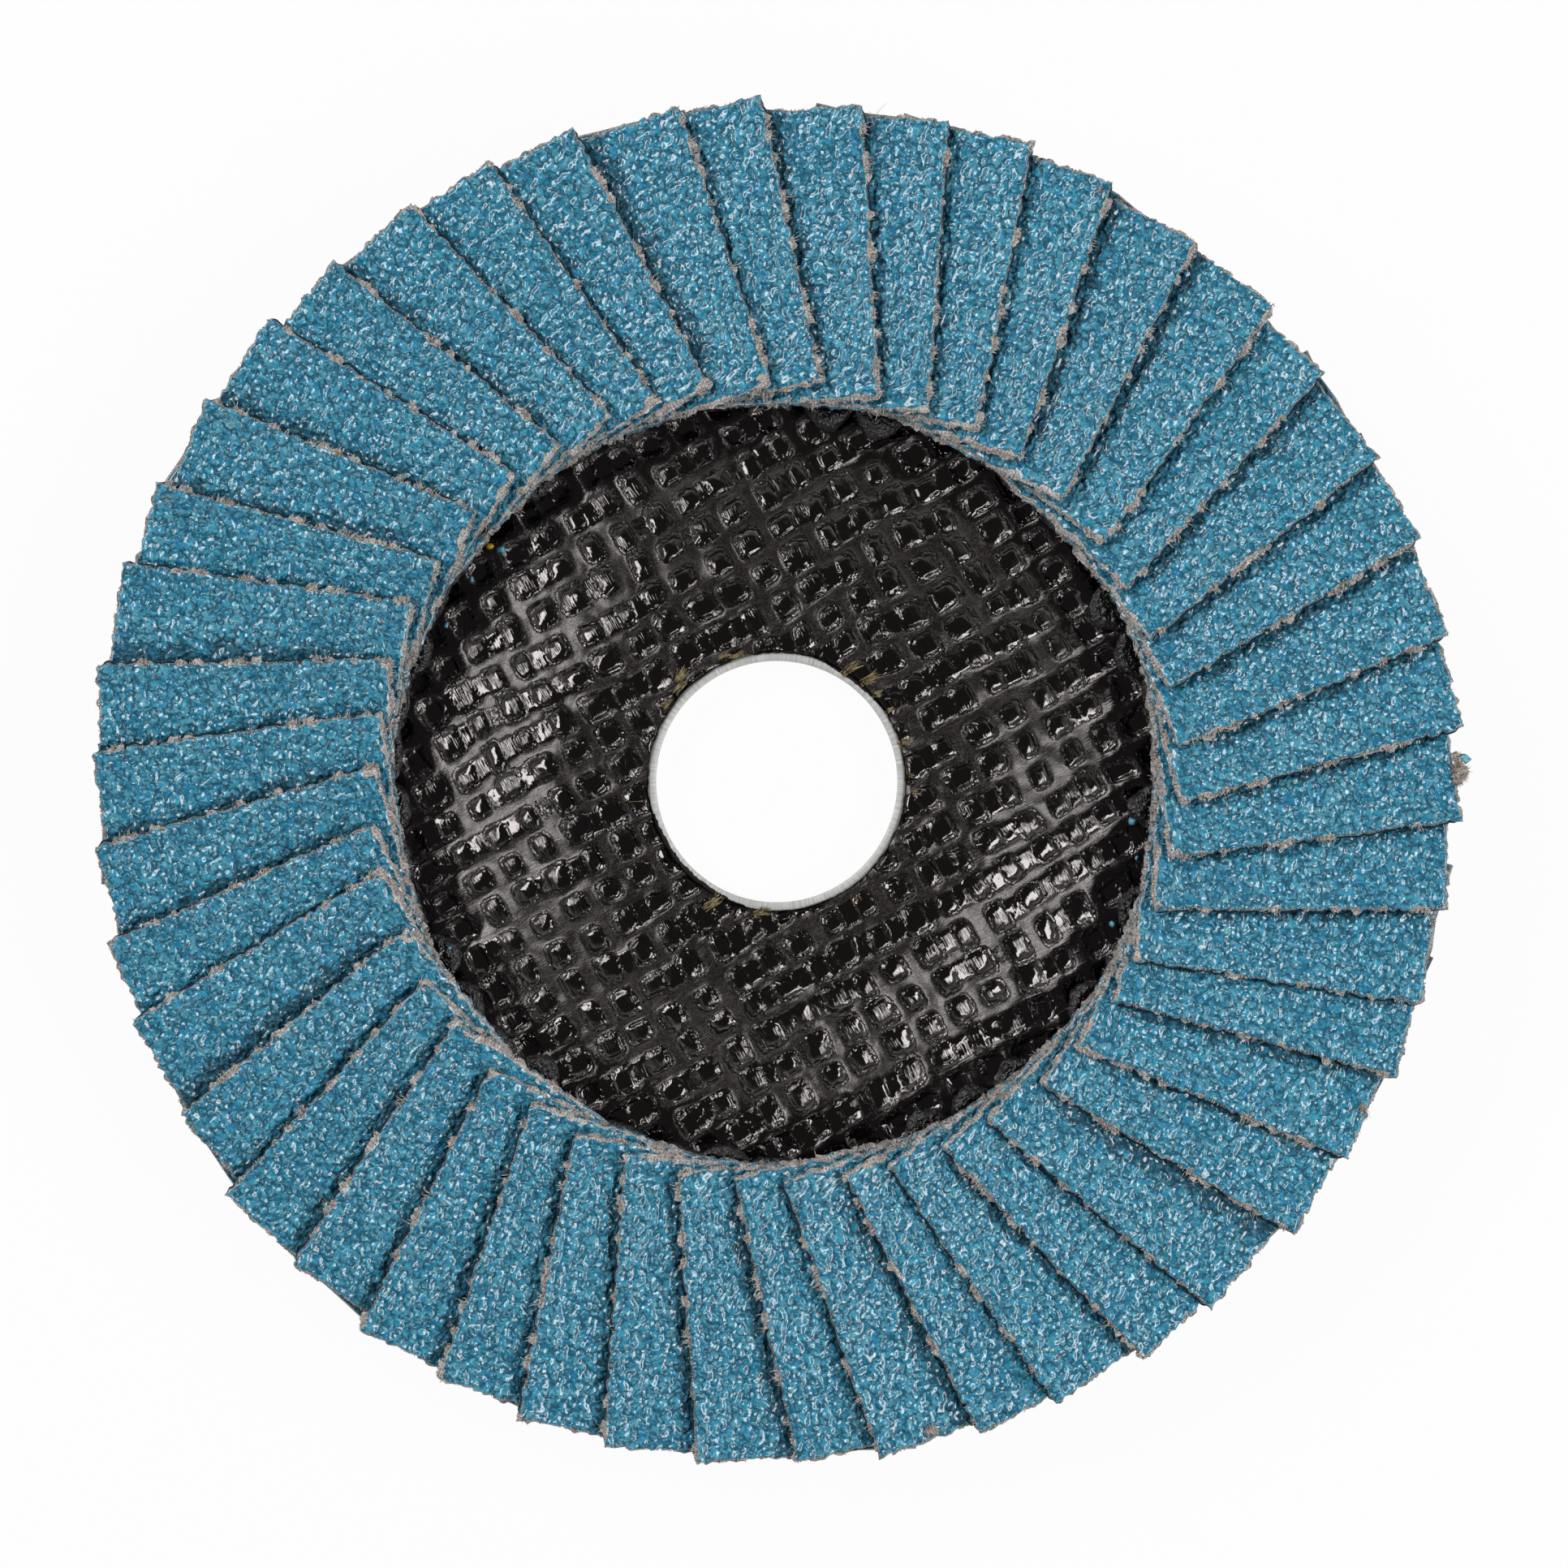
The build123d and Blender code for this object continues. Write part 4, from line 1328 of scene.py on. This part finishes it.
def build_floor(level):
    """A wide round floor that curves up at its rim, white to the camera and pale to the light."""
    radii = np.array([0.3, 0.8, 1.4, 2.2, 2.6, 2.8, 2.9])
    heights = level + np.array([0, 0, 0, 0, 0.08, 0.3, 0.9])
    columns = np.arange(96)
    points = turned_points(radii[:, None], even_angles(len(columns)), heights[:, None])
    points = points.reshape(-1, 3)
    fan = np.stack([columns, np.roll(columns, -1), np.full(len(columns), len(points))], axis=1)
    quads = grid_faces(len(radii), len(columns), wrap_columns=True)[:, ::-1]
    mesh = make_mesh("Floor", np.append(points, [[0, 0, level]], axis=0), quads, fan)
    floor = bpy.data.objects.new("Floor", mesh)
    bpy.context.scene.collection.objects.link(floor)
    material, nodes, shader = new_material("White floor", Roughness=0.8, Base_Color=(0.8, 0.8, 0.8, 1))
    paths = nodes.add("ShaderNodeLightPath")
    seen = nodes.math("MAXIMUM", paths["Is Camera Ray"], paths["Is Glossy Ray"])
    seen = nodes.math("MAXIMUM", seen, paths["Is Transmission Ray"])
    glow_share = 0.955
    amount = nodes.math("MULTIPLY", seen, glow_share)
    glow = nodes.add("ShaderNodeEmission", {"Strength": 1.0})[0]
    mixed = nodes.add("ShaderNodeMixShader", {0: amount, 1: shader.outputs[0], 2: glow})[0]
    nodes.fill(nodes.tree.nodes["Material Output"], {"Surface": mixed})
    mesh.materials.append(material)


def build_world(scene, settings):
    """Pale fill light, weak overhead and bright all round, and white where the camera sees past the floor."""
    world = bpy.data.worlds.new("Pale room")
    world.use_nodes = True
    nodes = Nodes(world.node_tree)
    height = nodes.axes(nodes.add("ShaderNodeTexCoord")["Generated"])["Z"]
    fill = nodes.remap(height, 0.1, 0.65, settings.side_fill, settings.overhead_fill)
    strength = nodes.mix(nodes.add("ShaderNodeLightPath")["Is Camera Ray"], fill, 1.0)
    nodes.fill(nodes.tree.nodes["Background"], {"Color": (1, 1, 1, 1), "Strength": strength})
    scene.world = world


def add_lamp(name, azimuth, power, settings):
    """A wide soft lamp aimed at the disc from half way up the sky."""
    zenith = np.radians(47)
    away = Vector((*toward(azimuth) * np.sin(zenith), np.cos(zenith)))
    lamp = bpy.data.lights.new(name, "AREA")
    lamp.shape = "RECTANGLE"
    lamp.size, lamp.size_y = settings.lamp_width, settings.lamp_height
    lamp.energy = power
    holder = bpy.data.objects.new(name, lamp)
    holder.location = away * settings.lamp_distance
    holder.rotation_mode = "QUATERNION"
    holder.rotation_quaternion = away.to_track_quat("Z", "Y")
    bpy.context.scene.collection.objects.link(holder)


class FLAPDISC_PT_panel(bpy.types.Panel):
    """Lists the steps that build the disc."""

    bl_idname = "FLAPDISC_PT_panel"
    bl_label = "Flap disc"
    bl_space_type = "VIEW_3D"
    bl_region_type = "UI"
    bl_category = "Flap disc"

    def draw(self, context):
        for operator in OPERATORS:
            self.layout.operator(operator.bl_idname)


SETTINGS = {
    "flapdisc_flaps": FlapSettings,
    "flapdisc_plate": PlateSettings,
    "flapdisc_ring": RingSettings,
    "flapdisc_trimmings": TrimmingSettings,
    "flapdisc_stage": StageSettings,
}
OPERATORS = (
    FLAPDISC_OT_plate,
    FLAPDISC_OT_ring,
    FLAPDISC_OT_adhesive,
    FLAPDISC_OT_flaps,
    FLAPDISC_OT_trimmings,
    FLAPDISC_OT_stage,
)
CLASSES = (*SETTINGS.values(), *OPERATORS, FLAPDISC_PT_panel)


def register():
    """Adds the settings, operators and panel to Blender."""
    for cls in CLASSES:
        bpy.utils.register_class(cls)
    for name, cls in SETTINGS.items():
        setattr(bpy.types.Scene, name, PointerProperty(type=cls))


def unregister():
    """Takes them out again."""
    for name in SETTINGS:
        delattr(bpy.types.Scene, name)
    for cls in reversed(CLASSES):
        bpy.utils.unregister_class(cls)


def main():
    """Builds the disc and its stage."""
    register()
    bpy.ops.flapdisc.plate()
    bpy.ops.flapdisc.ring()
    bpy.ops.flapdisc.adhesive()
    bpy.ops.flapdisc.flaps()
    bpy.ops.flapdisc.trimmings()
    bpy.ops.flapdisc.stage()


if __name__ == "__main__":
    main()
